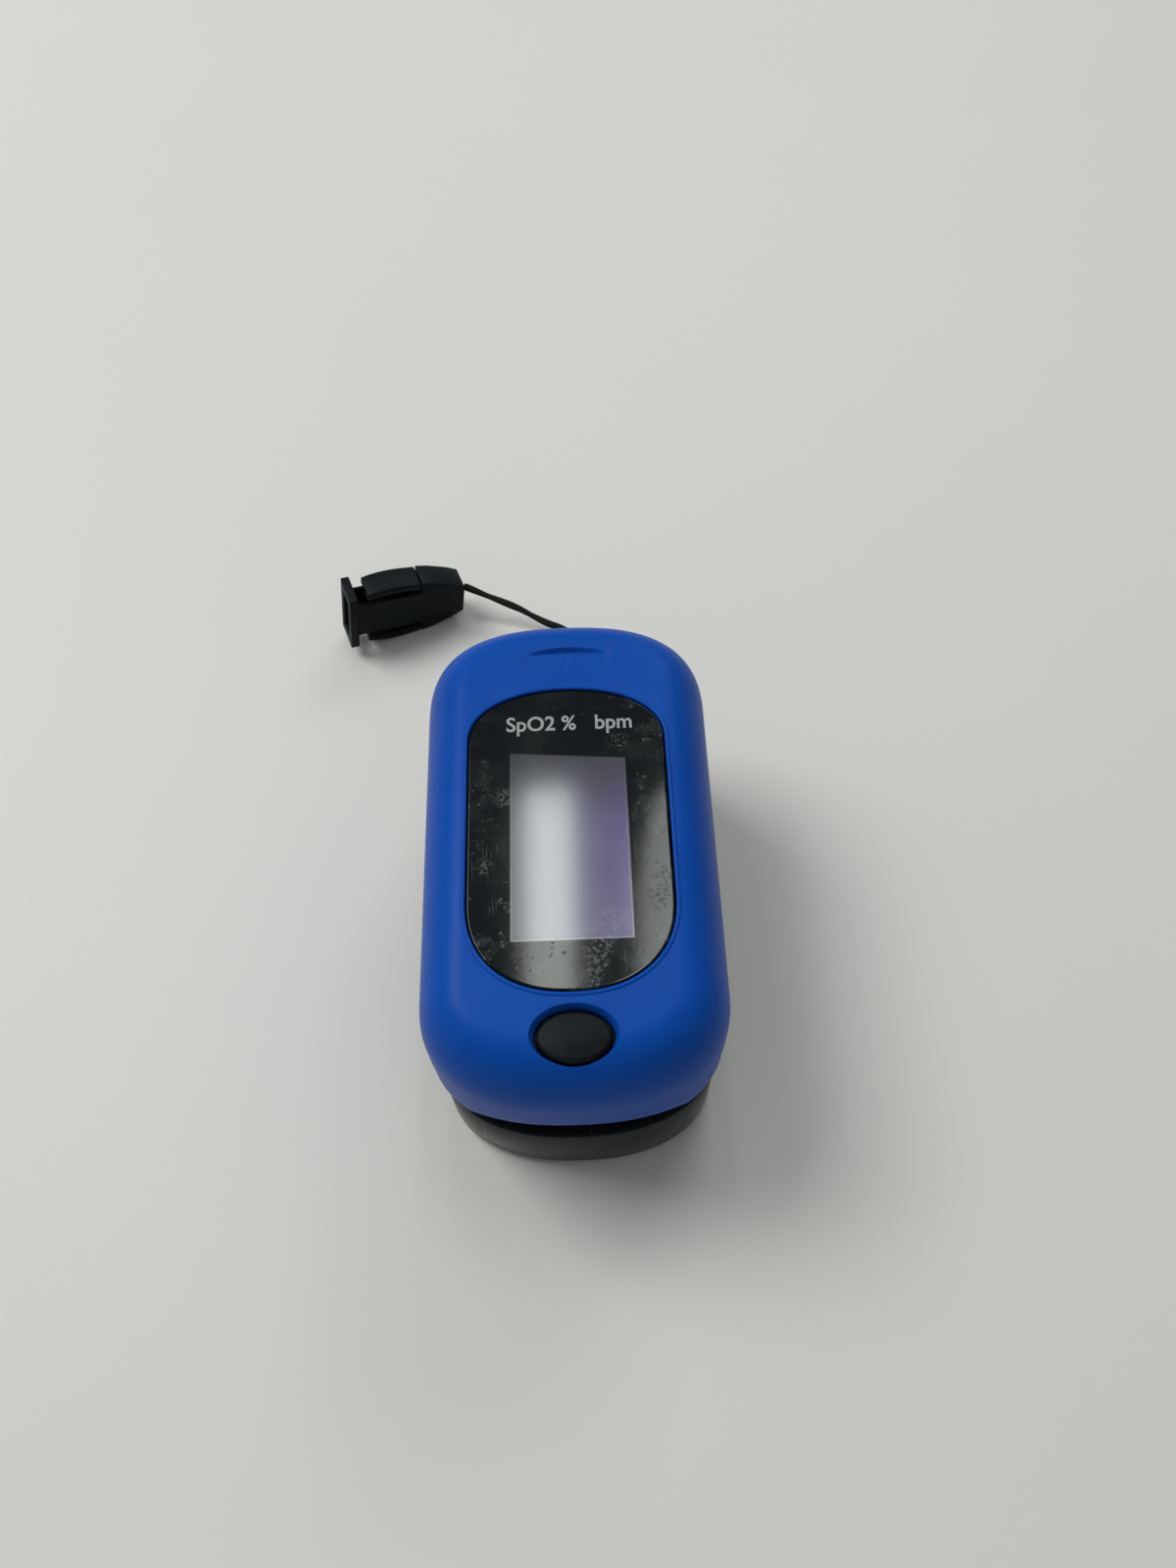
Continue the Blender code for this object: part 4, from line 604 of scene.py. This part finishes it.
def capsule(half_width, front_y, rear_y, front_cap, rear_cap, front_power, rear_power, stations=()):
    """A closed outline, front tip first, up its right side and down its left."""
    front = [(x, front_y + front_cap - y)
             for x, y in reversed(end_quarter(half_width, front_cap, front_power, CAP_STEPS))]
    rear = [(x, rear_y - rear_cap + y) for x, y in end_quarter(half_width, rear_cap, rear_power, CAP_STEPS)]
    right = front + [(half_width, y) for y in stations] + rear
    return right + [(-x, y) for x, y in reversed(right[1:-1])]


def body_outline(inset):
    stations = [LOWER_SLOPE_START_Y, UPPER_SLOPE_START_Y]
    return capsule(HALF_WIDTH - inset, -HALF_LENGTH + inset, HALF_LENGTH - inset, FRONT_CAP - inset,
                   REAR_CAP - inset, FRONT_POWER, REAR_POWER, stations)


def window_outline(inset):
    return capsule(WINDOW_HIGH.x - inset, WINDOW_LOW.y + inset, WINDOW_HIGH.y - inset,
                   WINDOW_FRONT_CAP - inset, WINDOW_REAR_CAP - inset, WINDOW_FRONT_POWER, WINDOW_REAR_POWER)


def oval(half_x, half_y, centre_y, steps=64):
    turns = [math.tau * step / steps for step in range(steps)]
    return [(half_x * math.sin(turn), centre_y - half_y * math.cos(turn)) for turn in turns]


def upper_face(y):
    """Height of the upper half's parting face, which rises towards the rear."""
    share = (y - UPPER_SLOPE_START_Y) / (HALF_LENGTH - UPPER_SLOPE_START_Y)
    return UPPER_FACE_Z + UPPER_REAR_RISE * max(0.0, share)


def lower_face(y):
    """Height of the lower half's parting face, which drops towards the rear."""
    share = (y - LOWER_SLOPE_START_Y) / (HALF_LENGTH - LOWER_SLOPE_START_Y)
    return FACE_Z - LOWER_REAR_DROP * max(0.0, share)


def ring(outline, height):
    if callable(height):
        return [(x, y, height(y)) for x, y in outline]
    return [(x, y, height) for x, y in outline]


def loft(rings, closed=False):
    """A solid through rings of equal length; capped with strips across x, or closed on itself."""
    mesh = bmesh.new()
    rows = [[mesh.verts.new(point) for point in points] for points in rings]
    pairs = list(zip(rows, rows[1:]))
    if closed:
        pairs.append((rows[-1], rows[0]))
    for low, high in pairs:
        for step in range(len(low)):
            after = (step + 1) % len(low)
            mesh.faces.new((low[step], low[after], high[after], high[step]))
    if not closed:
        for verts in (rows[0], rows[-1]):
            count = len(verts)
            for step in range(count // 2):
                corners = [verts[step], verts[step + 1], verts[(count - step - 1) % count],
                           verts[(count - step) % count]]
                face = list(dict.fromkeys(corners))
                if len(face) > 2:
                    mesh.faces.new(face)
    bmesh.ops.recalc_face_normals(mesh, faces=mesh.faces)
    return mesh


def box_mesh(low, high):
    mesh = bmesh.new()
    bmesh.ops.create_cube(mesh, size=1.0)
    for vert in mesh.verts:
        vert.co = Vector(high[axis] if vert.co[axis] > 0 else low[axis] for axis in range(3))
    return mesh


def rod_mesh(radius, x, y, low, high, sides=32):
    mesh = bmesh.new()
    bmesh.ops.create_cone(mesh, cap_ends=True, segments=sides, radius1=radius, radius2=radius,
                          depth=high - low)
    bmesh.ops.translate(mesh, vec=(x, y, (low + high) / 2), verts=mesh.verts)
    return mesh


def to_object(name, mesh):
    data = bpy.data.meshes.new(name)
    mesh.to_mesh(data)
    mesh.free()
    item = bpy.data.objects.new(name, data)
    bpy.context.scene.collection.objects.link(item)
    return item


def bake(item):
    """Turn an object's modifiers into its mesh."""
    graph = bpy.context.evaluated_depsgraph_get()
    data = bpy.data.meshes.new_from_object(item.evaluated_get(graph))
    item.modifiers.clear()
    item.data = data
    return item


def carve(item, mesh, operation="DIFFERENCE"):
    """Cut or join a shape, and keep only the result."""
    cutter = to_object("cutter", mesh)
    modifier = item.modifiers.new("carve", "BOOLEAN")
    modifier.operation = operation
    modifier.solver = "EXACT"
    modifier.object = cutter
    bake(item)
    bpy.data.objects.remove(cutter)


def soften(item, width, segments=3, angle=34.0):
    """Round the sharp edges and shade the rest smooth."""
    modifier = item.modifiers.new("soften", "BEVEL")
    modifier.width = width
    modifier.segments = segments
    modifier.limit_method = "ANGLE"
    modifier.angle_limit = math.radians(angle)
    modifier.use_clamp_overlap = True
    bake(item)
    smooth(item)


def smooth(item, angle=38.0):
    item.data.shade_smooth()
    item.data.set_sharp_from_angle(angle=math.radians(angle))


def finish_piece(item, slot, body, *nodes):
    item.data.materials.clear()
    item.data.materials.append(FINISHES[slot])
    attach(item, body)
    if nodes:
        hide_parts(*nodes)
    return item


def refine(node, width):
    """A merged copy of a CAD node with its edges rounded, which stands for it."""
    source = NODES[node]
    mesh = bmesh.new()
    mesh.from_mesh(source.data)
    bmesh.ops.remove_doubles(mesh, verts=mesh.verts, dist=0.000001)
    bmesh.ops.dissolve_limit(mesh, angle_limit=math.radians(1.0), verts=mesh.verts, edges=mesh.edges)
    item = to_object(node + "_form", mesh)
    soften(item, width, 2)
    return finish_piece(item, SLOT_OF[node], BODY_OF[node], node)


# ================================================================ upper half

def make_cover():
    """The blue cover: a thin shell with a deep round shoulder, cut for window, button and finger."""
    rings = [ring(body_outline(FACE_INSET), COVER_TOP)]
    steps = 14
    for step in range(steps + 1):
        angle = math.pi / 2 * step / steps
        inset = TOP_ROUND_IN * (1 - math.sin(angle))
        drop = (TOP_ROUND_DOWN - FACE_SINK) * (1 - math.cos(angle))
        rings.append(ring(body_outline(inset), COVER_TOP - drop))
    rings.append(ring(body_outline(0.0), WIDEST_Z))
    rings.append(ring(body_outline(0.05 * MM), SKIRT_Z))
    edge = COVER_EDGE_ABOVE_FACE
    lip = 0.3 * MM
    rings.append(ring(body_outline(FRONT_TUCK * 0.8), lambda y: upper_face(y) + edge + lip))
    rings.append(ring(body_outline(FRONT_TUCK + 0.08 * MM), lambda y: upper_face(y) + edge + 0.08 * MM))
    rings.append(ring(body_outline(FRONT_TUCK + lip), lambda y: upper_face(y) + edge))
    rings.append(ring(body_outline(COVER_WALL), lambda y: upper_face(y) + edge))
    rings.append(ring(body_outline(COVER_WALL), COVER_TOP - TOP_ROUND_DOWN))
    for step in range(1, 6):
        angle = math.pi / 2 * (1 - step / 5)
        inset = COVER_WALL + (TOP_ROUND_IN - COVER_WALL) * (1 - math.sin(angle))
        drop = (TOP_ROUND_DOWN - COVER_WALL) * (1 - math.cos(angle))
        rings.append(ring(body_outline(inset), COVER_TOP - COVER_WALL - drop))
    cover = to_object("cover_form", loft(rings))
    high = COVER_HIGH.z + 5 * MM
    under = FACE_CUT_Z
    carve(cover, loft([ring(window_outline(-GAP), under), ring(window_outline(-GAP), high)]))
    hole = oval(BUTTON_HALF_X + GAP, BUTTON_HALF_Y + GAP, BUTTON_Y, 96)
    dish = oval(BUTTON_HALF_X + DISH_REACH_X, BUTTON_HALF_Y + DISH_REACH_Y, BUTTON_Y, 96)
    carve(cover, loft([ring(hole, under), ring(hole, COVER_TOP - DISH_DEPTH), ring(dish, COVER_TOP),
                       ring(dish, high)]))
    carve(cover, thumb_rest())
    carve(cover, finger_mouth())
    soften(cover, 0.16 * MM)
    finish_piece(cover, "blue_shell", "upper_half", "top_cover")


def thumb_rest():
    """The hollow for the thumb: a steep crescent wall at the rear, fading out towards the window."""
    outline = []
    steps = 24
    for step in range(steps + 1):
        share = 2 * step / steps - 1
        outline.append((THUMB_X + THUMB_HALF * share, THUMB_REAR_Y - THUMB_REAR_BOW * share * share))
    floor = []
    front = []
    for x, y in outline:
        share = (x - THUMB_X) / THUMB_HALF
        depth = THUMB_DEPTH * (1 - share * share) + THUMB_CLEAR
        floor.append((x, y - THUMB_WALL_RUN, COVER_TOP - depth))
        front.append((x, THUMB_FRONT_Y + THUMB_FRONT_BOW * share * share, COVER_TOP + THUMB_CLEAR))
    rear = [(x, y, COVER_TOP + THUMB_CLEAR) for x, y in outline]
    lid = 3 * MM
    mesh = bmesh.new()
    rows = [[mesh.verts.new(point) for point in line]
            for line in (rear, floor, front, [(x, y, z + lid) for x, y, z in front],
                         [(x, y, z + lid) for x, y, z in rear])]
    for first, second in zip(rows, rows[1:] + rows[:1]):
        for step in range(steps):
            mesh.faces.new((first[step], first[step + 1], second[step + 1], second[step]))
    for step in (0, steps):
        mesh.faces.new([row[step] for row in rows])
    bmesh.ops.recalc_face_normals(mesh, faces=mesh.faces)
    return mesh


def finger_mouth():
    """The low arch in the cover's front."""
    outline = [(-MOUTH_HALF, FACE_Z - MM)]
    for step in range(MOUTH_STEPS + 1):
        angle = math.pi * (1 - step / MOUTH_STEPS)
        x = MOUTH_HALF * math.copysign(abs(math.cos(angle)) ** (2 / MOUTH_POWER), math.cos(angle))
        outline.append((x, FACE_Z + (MOUTH_TOP - FACE_Z) * math.sin(angle) ** (2 / MOUTH_POWER)))
    outline.append((MOUTH_HALF, FACE_Z - MM))
    mesh = bmesh.new()
    faces = []
    for y in (-HALF_LENGTH - 5 * MM, -HALF_LENGTH + 8 * MM):
        faces.append([mesh.verts.new((x, y, z)) for x, z in outline])
    mesh.faces.new(faces[0])
    mesh.faces.new(faces[1])
    for step in range(len(outline)):
        after = (step + 1) % len(outline)
        mesh.faces.new((faces[0][step], faces[0][after], faces[1][after], faces[1][step]))
    bmesh.ops.recalc_face_normals(mesh, faces=mesh.faces)
    return mesh


def make_window_rim():
    """The raised, rounded bead round the window."""
    inner = GAP
    outer = GAP + 0.5 * MM
    low = COVER_TOP - 0.5 * MM
    high = COVER_HIGH.z - 0.05 * MM
    middle = (inner + outer) / 2
    half = (outer - inner) / 2
    rings = [ring(window_outline(-inner), low)]
    steps = 8
    for step in range(steps + 1):
        angle = math.pi * step / steps
        rings.append(ring(window_outline(-(middle - half * math.cos(angle))),
                          high - half * 0.9 * (1 - math.sin(angle))))
    rings.append(ring(window_outline(-outer), low))
    item = to_object("window_rim", loft(rings, closed=True))
    smooth(item, 60.0)
    return finish_piece(item, "blue_shell", "upper_half")


def make_window():
    """The window plate with a polished, rounded edge."""
    edge = 0.16 * MM
    wide = -0.14 * MM
    rings = [ring(window_outline(wide), WINDOW_LOW.z)]
    for step in range(7):
        angle = math.pi / 2 * step / 6
        rings.append(ring(window_outline(wide + edge * (1 - math.cos(angle))),
                          WINDOW_HIGH.z - edge * (1 - math.sin(angle))))
    rings.reverse()
    rings.insert(0, ring(window_outline(wide + edge + 0.12 * MM), WINDOW_HIGH.z))
    item = to_object("window_form", loft(rings))
    smooth(item)
    finish_piece(item, "window", "upper_half", "display_window")


def make_label():
    """The generic measurement label printed above the display."""
    text = bpy.data.curves.new("label", "FONT")
    text.body = "SpO2 %   bpm"
    text.align_x = "CENTER"
    text.align_y = "CENTER"
    text.size = LABEL_SIZE
    text.offset = 0.045 * MM
    text.extrude = 0.01 * MM
    text.resolution_u = 6
    holder = bpy.data.objects.new("label", text)
    bpy.context.scene.collection.objects.link(holder)
    data = bpy.data.meshes.new_from_object(holder)
    bpy.data.objects.remove(holder)
    low = min(vert.co.x for vert in data.vertices)
    high = max(vert.co.x for vert in data.vertices)
    wide = LABEL_WIDTH / (high - low)
    centre = (low + high) / 2
    place = Matrix.Translation((LABEL_X, LABEL_Y, WINDOW_HIGH.z + 0.012 * MM))
    data.transform(place @ Matrix.Diagonal((wide, 1.0, 1.0, 1.0)) @ Matrix.Translation((-centre, 0.0, 0.0)))
    item = bpy.data.objects.new("window_label", data)
    bpy.context.scene.collection.objects.link(item)
    finish_piece(item, "window", "upper_half")
    item.data.materials.clear()
    item.data.materials.append(label_finish())


def make_button():
    """The oval button: a shallow pillow with a turned-down edge."""
    top = COVER_TOP - BUTTON_SINK
    rings = [ring(oval(BUTTON_HALF_X, BUTTON_HALF_Y, BUTTON_Y), BUTTON_LOW.z)]
    edge = BUTTON_EDGE
    for step in range(8):
        angle = math.pi / 2 * step / 7
        inset = edge * (1 - math.cos(angle))
        rings.append(ring(oval(BUTTON_HALF_X - inset, BUTTON_HALF_Y - inset, BUTTON_Y),
                          top - BUTTON_PILLOW - edge * (1 - math.sin(angle))))
    for share in (0.75, 0.5, 0.25):
        rings.append(ring(oval((BUTTON_HALF_X - edge) * share, (BUTTON_HALF_Y - edge) * share, BUTTON_Y),
                          top - BUTTON_PILLOW * share * share))
    item = to_object("button_form", loft(rings))
    carve(item, box_mesh((BUTTON_LOW.x, BUTTON_Y - 0.8 * MM, BUTTON_LOW.z),
                         (BUTTON_HIGH.x, BUTTON_Y + 1.8 * MM, BUTTON_LOW.z + 0.7 * MM)), "UNION")
    smooth(item)
    finish_piece(item, "black_plastic", "power_button", "power_button")


def pad_mesh(low, high, lower):
    """A finger pad swept along the finger, with soft ridges across its bed and a rolled front edge."""
    steps = 40
    rows = 90
    outer = high.x
    tip = high.z if lower else low.z
    floor = low.z + LOWER_BED_ABOVE if lower else UPPER_BED_Z
    base = low.z if lower else high.z
    mesh = bmesh.new()
    grid = []
    for row in range(rows + 1):
        y = low.y + (high.y - low.y) * row / rows
        lead = max(0.0, 1.0 - (y - low.y) / PAD_ROLL_RUN)
        roll = PAD_ROLL * lead * lead
        wave = 0.5 + 0.5 * math.cos(math.tau * (y - low.y) / PAD_RIDGE_PITCH)
        ridge = PAD_RIDGE * wave * (1.0 - lead)
        line = [(-outer, base), (outer, base), (outer, tip)]
        for step in range(steps + 1):
            angle = math.pi * step / steps
            x = PAD_BED_HALF * math.copysign(abs(math.cos(angle)) ** PAD_BED_POWER, math.cos(angle))
            rise = math.sin(angle) ** PAD_BED_POWER
            bed = floor + (ridge - roll * 0.6) * (1 if lower else -1) * rise
            line.append((x, tip + (bed - tip) * rise))
        line.append((-outer, tip))
        limit = max(PAD_TIP_HALF, front_half_width(y))
        grid.append([mesh.verts.new((max(-limit, min(limit, x)), y, z)) for x, z in line])
    for first, second in zip(grid, grid[1:]):
        for step in range(len(first)):
            after = (step + 1) % len(first)
            mesh.faces.new((first[step], first[after], second[after], second[step]))
    mesh.faces.new(grid[0])
    mesh.faces.new(grid[-1])
    bmesh.ops.recalc_face_normals(mesh, faces=mesh.faces)
    return mesh


def front_half_width(y):
    """Half the width inside the rim at a station along the body."""
    inset = PAD_INSET
    start = -HALF_LENGTH + FRONT_CAP
    if y >= start:
        return HALF_WIDTH - inset
    share = min(1.0, (start - y) / (FRONT_CAP - inset))
    return (HALF_WIDTH - inset) * (1 - share ** FRONT_POWER) ** (1 / FRONT_POWER)


def make_pads():
    """Both finger pads, each with a hole for the light that passes through the finger."""
    for name, low, high, lower, body in (
            ("upper_pad_form", UPPER_PAD_LOW, UPPER_PAD_HIGH, False, "upper_half"),
            ("lower_pad_form", LOWER_PAD_LOW, LOWER_PAD_HIGH, True, "lower_half")):
        item = to_object(name, pad_mesh(low, high, lower))
        carve(item, box_mesh((-OPTICS_HALF, OPTICS_FRONT_Y, low.z - MM),
                             (OPTICS_HALF, OPTICS_REAR_Y, high.z + MM)))
        smooth(item, 40.0)
        finish_piece(item, "pad_rubber", body, "lower_finger_pad" if lower else "upper_finger_pad")


# ================================================================ lower half

def make_lower_shell():
    """The grey shell: round bottom edge, door opening with rails, screw sinks and lanyard eye."""
    rings = []
    for step in range(9):
        angle = math.pi / 2 * step / 8
        inset = LOWER_INSET + BOTTOM_ROUND * (1 - math.sin(angle))
        rings.append(ring(body_outline(inset), BOTTOM_ROUND * (1 - math.cos(angle))))
    edge = 0.25 * MM
    drop = SHELL_EDGE_BELOW_FACE
    rings.append(ring(body_outline(LOWER_INSET), lambda y: lower_face(y) - drop - edge))
    rings.append(ring(body_outline(LOWER_INSET + edge * 0.3), lambda y: lower_face(y) - drop - edge * 0.3))
    rings.append(ring(body_outline(LOWER_INSET + edge), lambda y: lower_face(y) - drop))
    rings.append(ring(body_outline(LOWER_INSET + SHELL_WALL), lambda y: lower_face(y) - drop))
    rings.append(ring(body_outline(LOWER_INSET + SHELL_WALL), 2.6 * MM))
    shell = to_object("lower_shell_form", loft(rings))
    rear = DOOR_HIGH.y + GAP
    front = -HALF_LENGTH - 5 * MM
    well = DOOR_HALF + 0.1 * MM
    slot = DOOR_HALF + GAP
    carve(shell, box_mesh((-well, DOOR_WELL_FRONT_Y, -MM), (well, rear, 8 * MM)))
    carve(shell, box_mesh((-slot, front, -MM), (slot, rear, DOOR_HIGH.z + GAP)))
    rail_top = DOOR_HIGH.z + GAP * 0.9
    carve(shell, box_mesh((DOOR_LOW.x - GAP, front, RAIL_LOW_Z), (DOOR_HIGH.x + GAP, rear, rail_top)))
    for node in ("lower_screw_1", "lower_screw_2"):
        low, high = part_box(node)
        carve(shell, rod_mesh(SCREW_SINK, (low[0] + high[0]) / 2, (low[1] + high[1]) / 2, -MM, SCREW_SINK))
    for side in (-1, 1):
        middle = side * EYE_HOLE_X
        carve(shell, box_mesh((middle - EYE_HALF, 25 * MM, EYE_LOW_Z),
                              (middle + EYE_HALF, 35 * MM, EYE_HIGH_Z)))
    soften(shell, 0.12 * MM)
    finish_piece(shell, "grey_shell", "lower_half", "lower_shell")


def make_door():
    """The sliding door underneath, with its grip ribs set in rows by nodes."""
    door = refine("battery_door", 0.1 * MM)
    door.name = "door_form"
    make_grip_ribs()


def make_grip_ribs():
    """Rounded ribs across the door's front, one instance for each row."""
    rib = bmesh.new()
    half = 5.2 * MM
    radius = 0.14 * MM
    bmesh.ops.create_cone(rib, cap_ends=True, segments=12, radius1=radius, radius2=radius, depth=2 * half)
    bmesh.ops.rotate(rib, matrix=Matrix.Rotation(math.pi / 2, 3, "Y"), verts=rib.verts)
    rib_item = to_object("grip_rib", rib)
    smooth(rib_item, 60.0)
    holder = to_object("door_grip_ribs", bmesh.new())
    tree = bpy.data.node_groups.new("rib_row", "GeometryNodeTree")
    face = tree.interface
    face.new_socket("Geometry", in_out="INPUT", socket_type="NodeSocketGeometry")
    sockets = {}
    for label, kind in (("Rows", "NodeSocketInt"), ("Pitch", "NodeSocketFloat"),
                        ("First row", "NodeSocketVector"), ("Rib", "NodeSocketObject"),
                        ("Finish", "NodeSocketMaterial")):
        sockets[label] = face.new_socket(label, in_out="INPUT", socket_type=kind).identifier
    face.new_socket("Geometry", in_out="OUTPUT", socket_type="NodeSocketGeometry")
    start = tree.nodes.new("NodeGroupInput")
    end = tree.nodes.new("NodeGroupOutput")
    line = tree.nodes.new("GeometryNodeMeshLine")
    step = tree.nodes.new("ShaderNodeCombineXYZ")
    info = tree.nodes.new("GeometryNodeObjectInfo")
    copies = tree.nodes.new("GeometryNodeInstanceOnPoints")
    real = tree.nodes.new("GeometryNodeRealizeInstances")
    paint = tree.nodes.new("GeometryNodeSetMaterial")
    for first, second in (
            (start.outputs["Rows"], line.inputs["Count"]),
            (start.outputs["Pitch"], step.inputs["Y"]),
            (start.outputs["First row"], line.inputs["Start Location"]),
            (step.outputs[0], line.inputs["Offset"]),
            (start.outputs["Rib"], info.inputs["Object"]), (line.outputs[0], copies.inputs["Points"]),
            (info.outputs["Geometry"], copies.inputs["Instance"]), (copies.outputs[0], real.inputs[0]),
            (real.outputs[0], paint.inputs["Geometry"]), (start.outputs["Finish"], paint.inputs["Material"]),
            (paint.outputs[0], end.inputs[0])):
        tree.links.new(first, second)
    modifier = holder.modifiers.new("rows", "NODES")
    modifier.node_group = tree
    modifier[sockets["Rows"]] = 6
    modifier[sockets["Pitch"]] = 1.6 * MM
    modifier[sockets["First row"]] = (0.0, DOOR_LOW.y + 3.3 * MM, DOOR_LOW.z)
    modifier[sockets["Rib"]] = rib_item
    modifier[sockets["Finish"]] = FINISHES["grey_shell"]
    bake(holder)
    bpy.data.objects.remove(rib_item)
    smooth(holder, 60.0)
    finish_piece(holder, "grey_shell", "battery_door")


# ================================================================ lanyard

def smooth_route(points, count):
    """Evenly spaced points on a smooth curve through the given ones."""
    knots = [Vector(point) * MM for point in points]
    ends = [2 * knots[0] - knots[1]] + knots + [2 * knots[-1] - knots[-2]]
    dense = []
    for p0, p1, p2, p3 in zip(ends, ends[1:], ends[2:], ends[3:]):
        for step in range(24):
            t = step / 24
            dense.append(0.5 * (2 * p1 + (p2 - p0) * t + (2 * p0 - 5 * p1 + 4 * p2 - p3) * t * t
                                + (3 * p1 - p0 - 3 * p2 + p3) * t ** 3))
    dense.append(knots[-1])
    reach = [0.0]
    for first, second in zip(dense, dense[1:]):
        reach.append(reach[-1] + (second - first).length)
    result = []
    index = 0
    for step in range(count):
        want = reach[-1] * step / (count - 1)
        while index < len(dense) - 2 and reach[index + 1] < want:
            index += 1
        share = (want - reach[index]) / (reach[index + 1] - reach[index])
        result.append(dense[index].lerp(dense[index + 1], min(1.0, share)))
    return result, reach[-1]


def cord_mesh(path, wide, narrow, twist_length):
    """A cord of two strands laid together: a flat section that turns as it goes, with its own map."""
    mesh = bmesh.new()
    layer = mesh.loops.layers.uv.new("weave")
    sides = 20
    across = Vector((1.0, 0.0, 0.0))
    travelled = 0.0
    rows = []
    for index, place in enumerate(path):
        before = path[max(0, index - 1)]
        after = path[min(len(path) - 1, index + 1)]
        along = (after - before).normalized()
        across = (across - along * across.dot(along)).normalized()
        up = along.cross(across)
        if index:
            travelled += (place - path[index - 1]).length
        turn = math.tau * travelled / twist_length
        row = []
        for side in range(sides):
            angle = math.tau * side / sides
            reach = (wide + narrow) / 2 + (wide - narrow) / 2 * math.cos(2 * angle)
            row.append(mesh.verts.new(place + across * reach * math.cos(angle + turn)
                                      + up * reach * math.sin(angle + turn)))
        rows.append((row, travelled))
    for (low, start), (high, end) in zip(rows, rows[1:]):
        for side in range(sides):
            after = (side + 1) % sides
            face = mesh.faces.new((low[side], low[after], high[after], high[side]))
            corners = ((side, start), (side + 1, start), (side + 1, end), (side, end))
            for loop, (around, length) in zip(face.loops, corners):
                loop[layer].uv = (around / sides, length / (10 * MM))
    mesh.faces.new(rows[0][0])
    mesh.faces.new(rows[-1][0])
    bmesh.ops.recalc_face_normals(mesh, faces=mesh.faces)
    return mesh


def make_cord(clasp):
    path, length = smooth_route(CORD_ROUTE, 170)
    thin = CORD_DIAMETER * CORD_FLAT_SHARE
    cord = to_object("cord_form", cord_mesh(path, CORD_DIAMETER / 2, thin, TWIST_LENGTH))
    smooth(cord, 60.0)
    finish_piece(cord, "cord_fibre", "lower_half", "lanyard_cord")
    strands = make_eye_loop(path[0])
    clasp + strands


def make_eye_loop(start):
    """The cord's two strands, spread into the holes either side of the eye's bar."""
    strands = []
    x, y, z = start / MM
    for name, side in (("eye_strand_left", -1), ("eye_strand_right", 1)):
        points = [(x + side * 0.25, y + 0.35, z), (side * 0.9, y + 0.1, z), (side * 1.7, y - 0.3, z),
                  (side * 2.1, y - 1.1, z), (side * 2.0, y - 2.4, z)]
        path, _length = smooth_route(points, 24)
        strand = to_object(name, cord_mesh(path, 0.30 * MM, 0.26 * MM, 3.0 * MM))
        smooth(strand, 60.0)
        strands.append(finish_piece(strand, "cord_fibre", "lower_half"))
    return strands


def make_clasp():
    """The clasp body and its two spring arms, whose roots reach close to the shoulder."""
    turn = math.radians(CLASP_TURN)
    dip = math.radians(CLASP_DIP)
    along = Vector((math.cos(dip) * math.cos(turn), math.cos(dip) * math.sin(turn), -math.sin(dip)))
    start = Vector(CLASP_START) * MM
    arms = [refine(node, 0.25 * MM) for node in ("clasp_arm_upper", "clasp_arm_lower")]
    for arm in arms:
        for vert in arm.data.vertices:
            if (vert.co - start).dot(along) > ARM_ROOT_FROM:
                vert.co += along * ARM_ROOT_REACH
    return [refine("clasp_body", 0.2 * MM)] + arms


# ================================================================ build

make_camera()
FINISHES = make_finishes()
for node_name, node_object in NODES.items():
    node_object.data.materials.clear()
    node_object.data.materials.append(FINISHES[SLOT_OF[node_name]])

make_cord(make_clasp())
make_cover()
make_window_rim()
make_window()
make_label()
make_button()
make_pads()
make_lower_shell()
make_door()
for node_name in ("upper_inner_cover", "lower_inner_cover", "window_gasket"):
    refine(node_name, 0.1 * MM)
make_floor()
make_lights()
bpy.context.scene.view_settings.view_transform = "Standard"
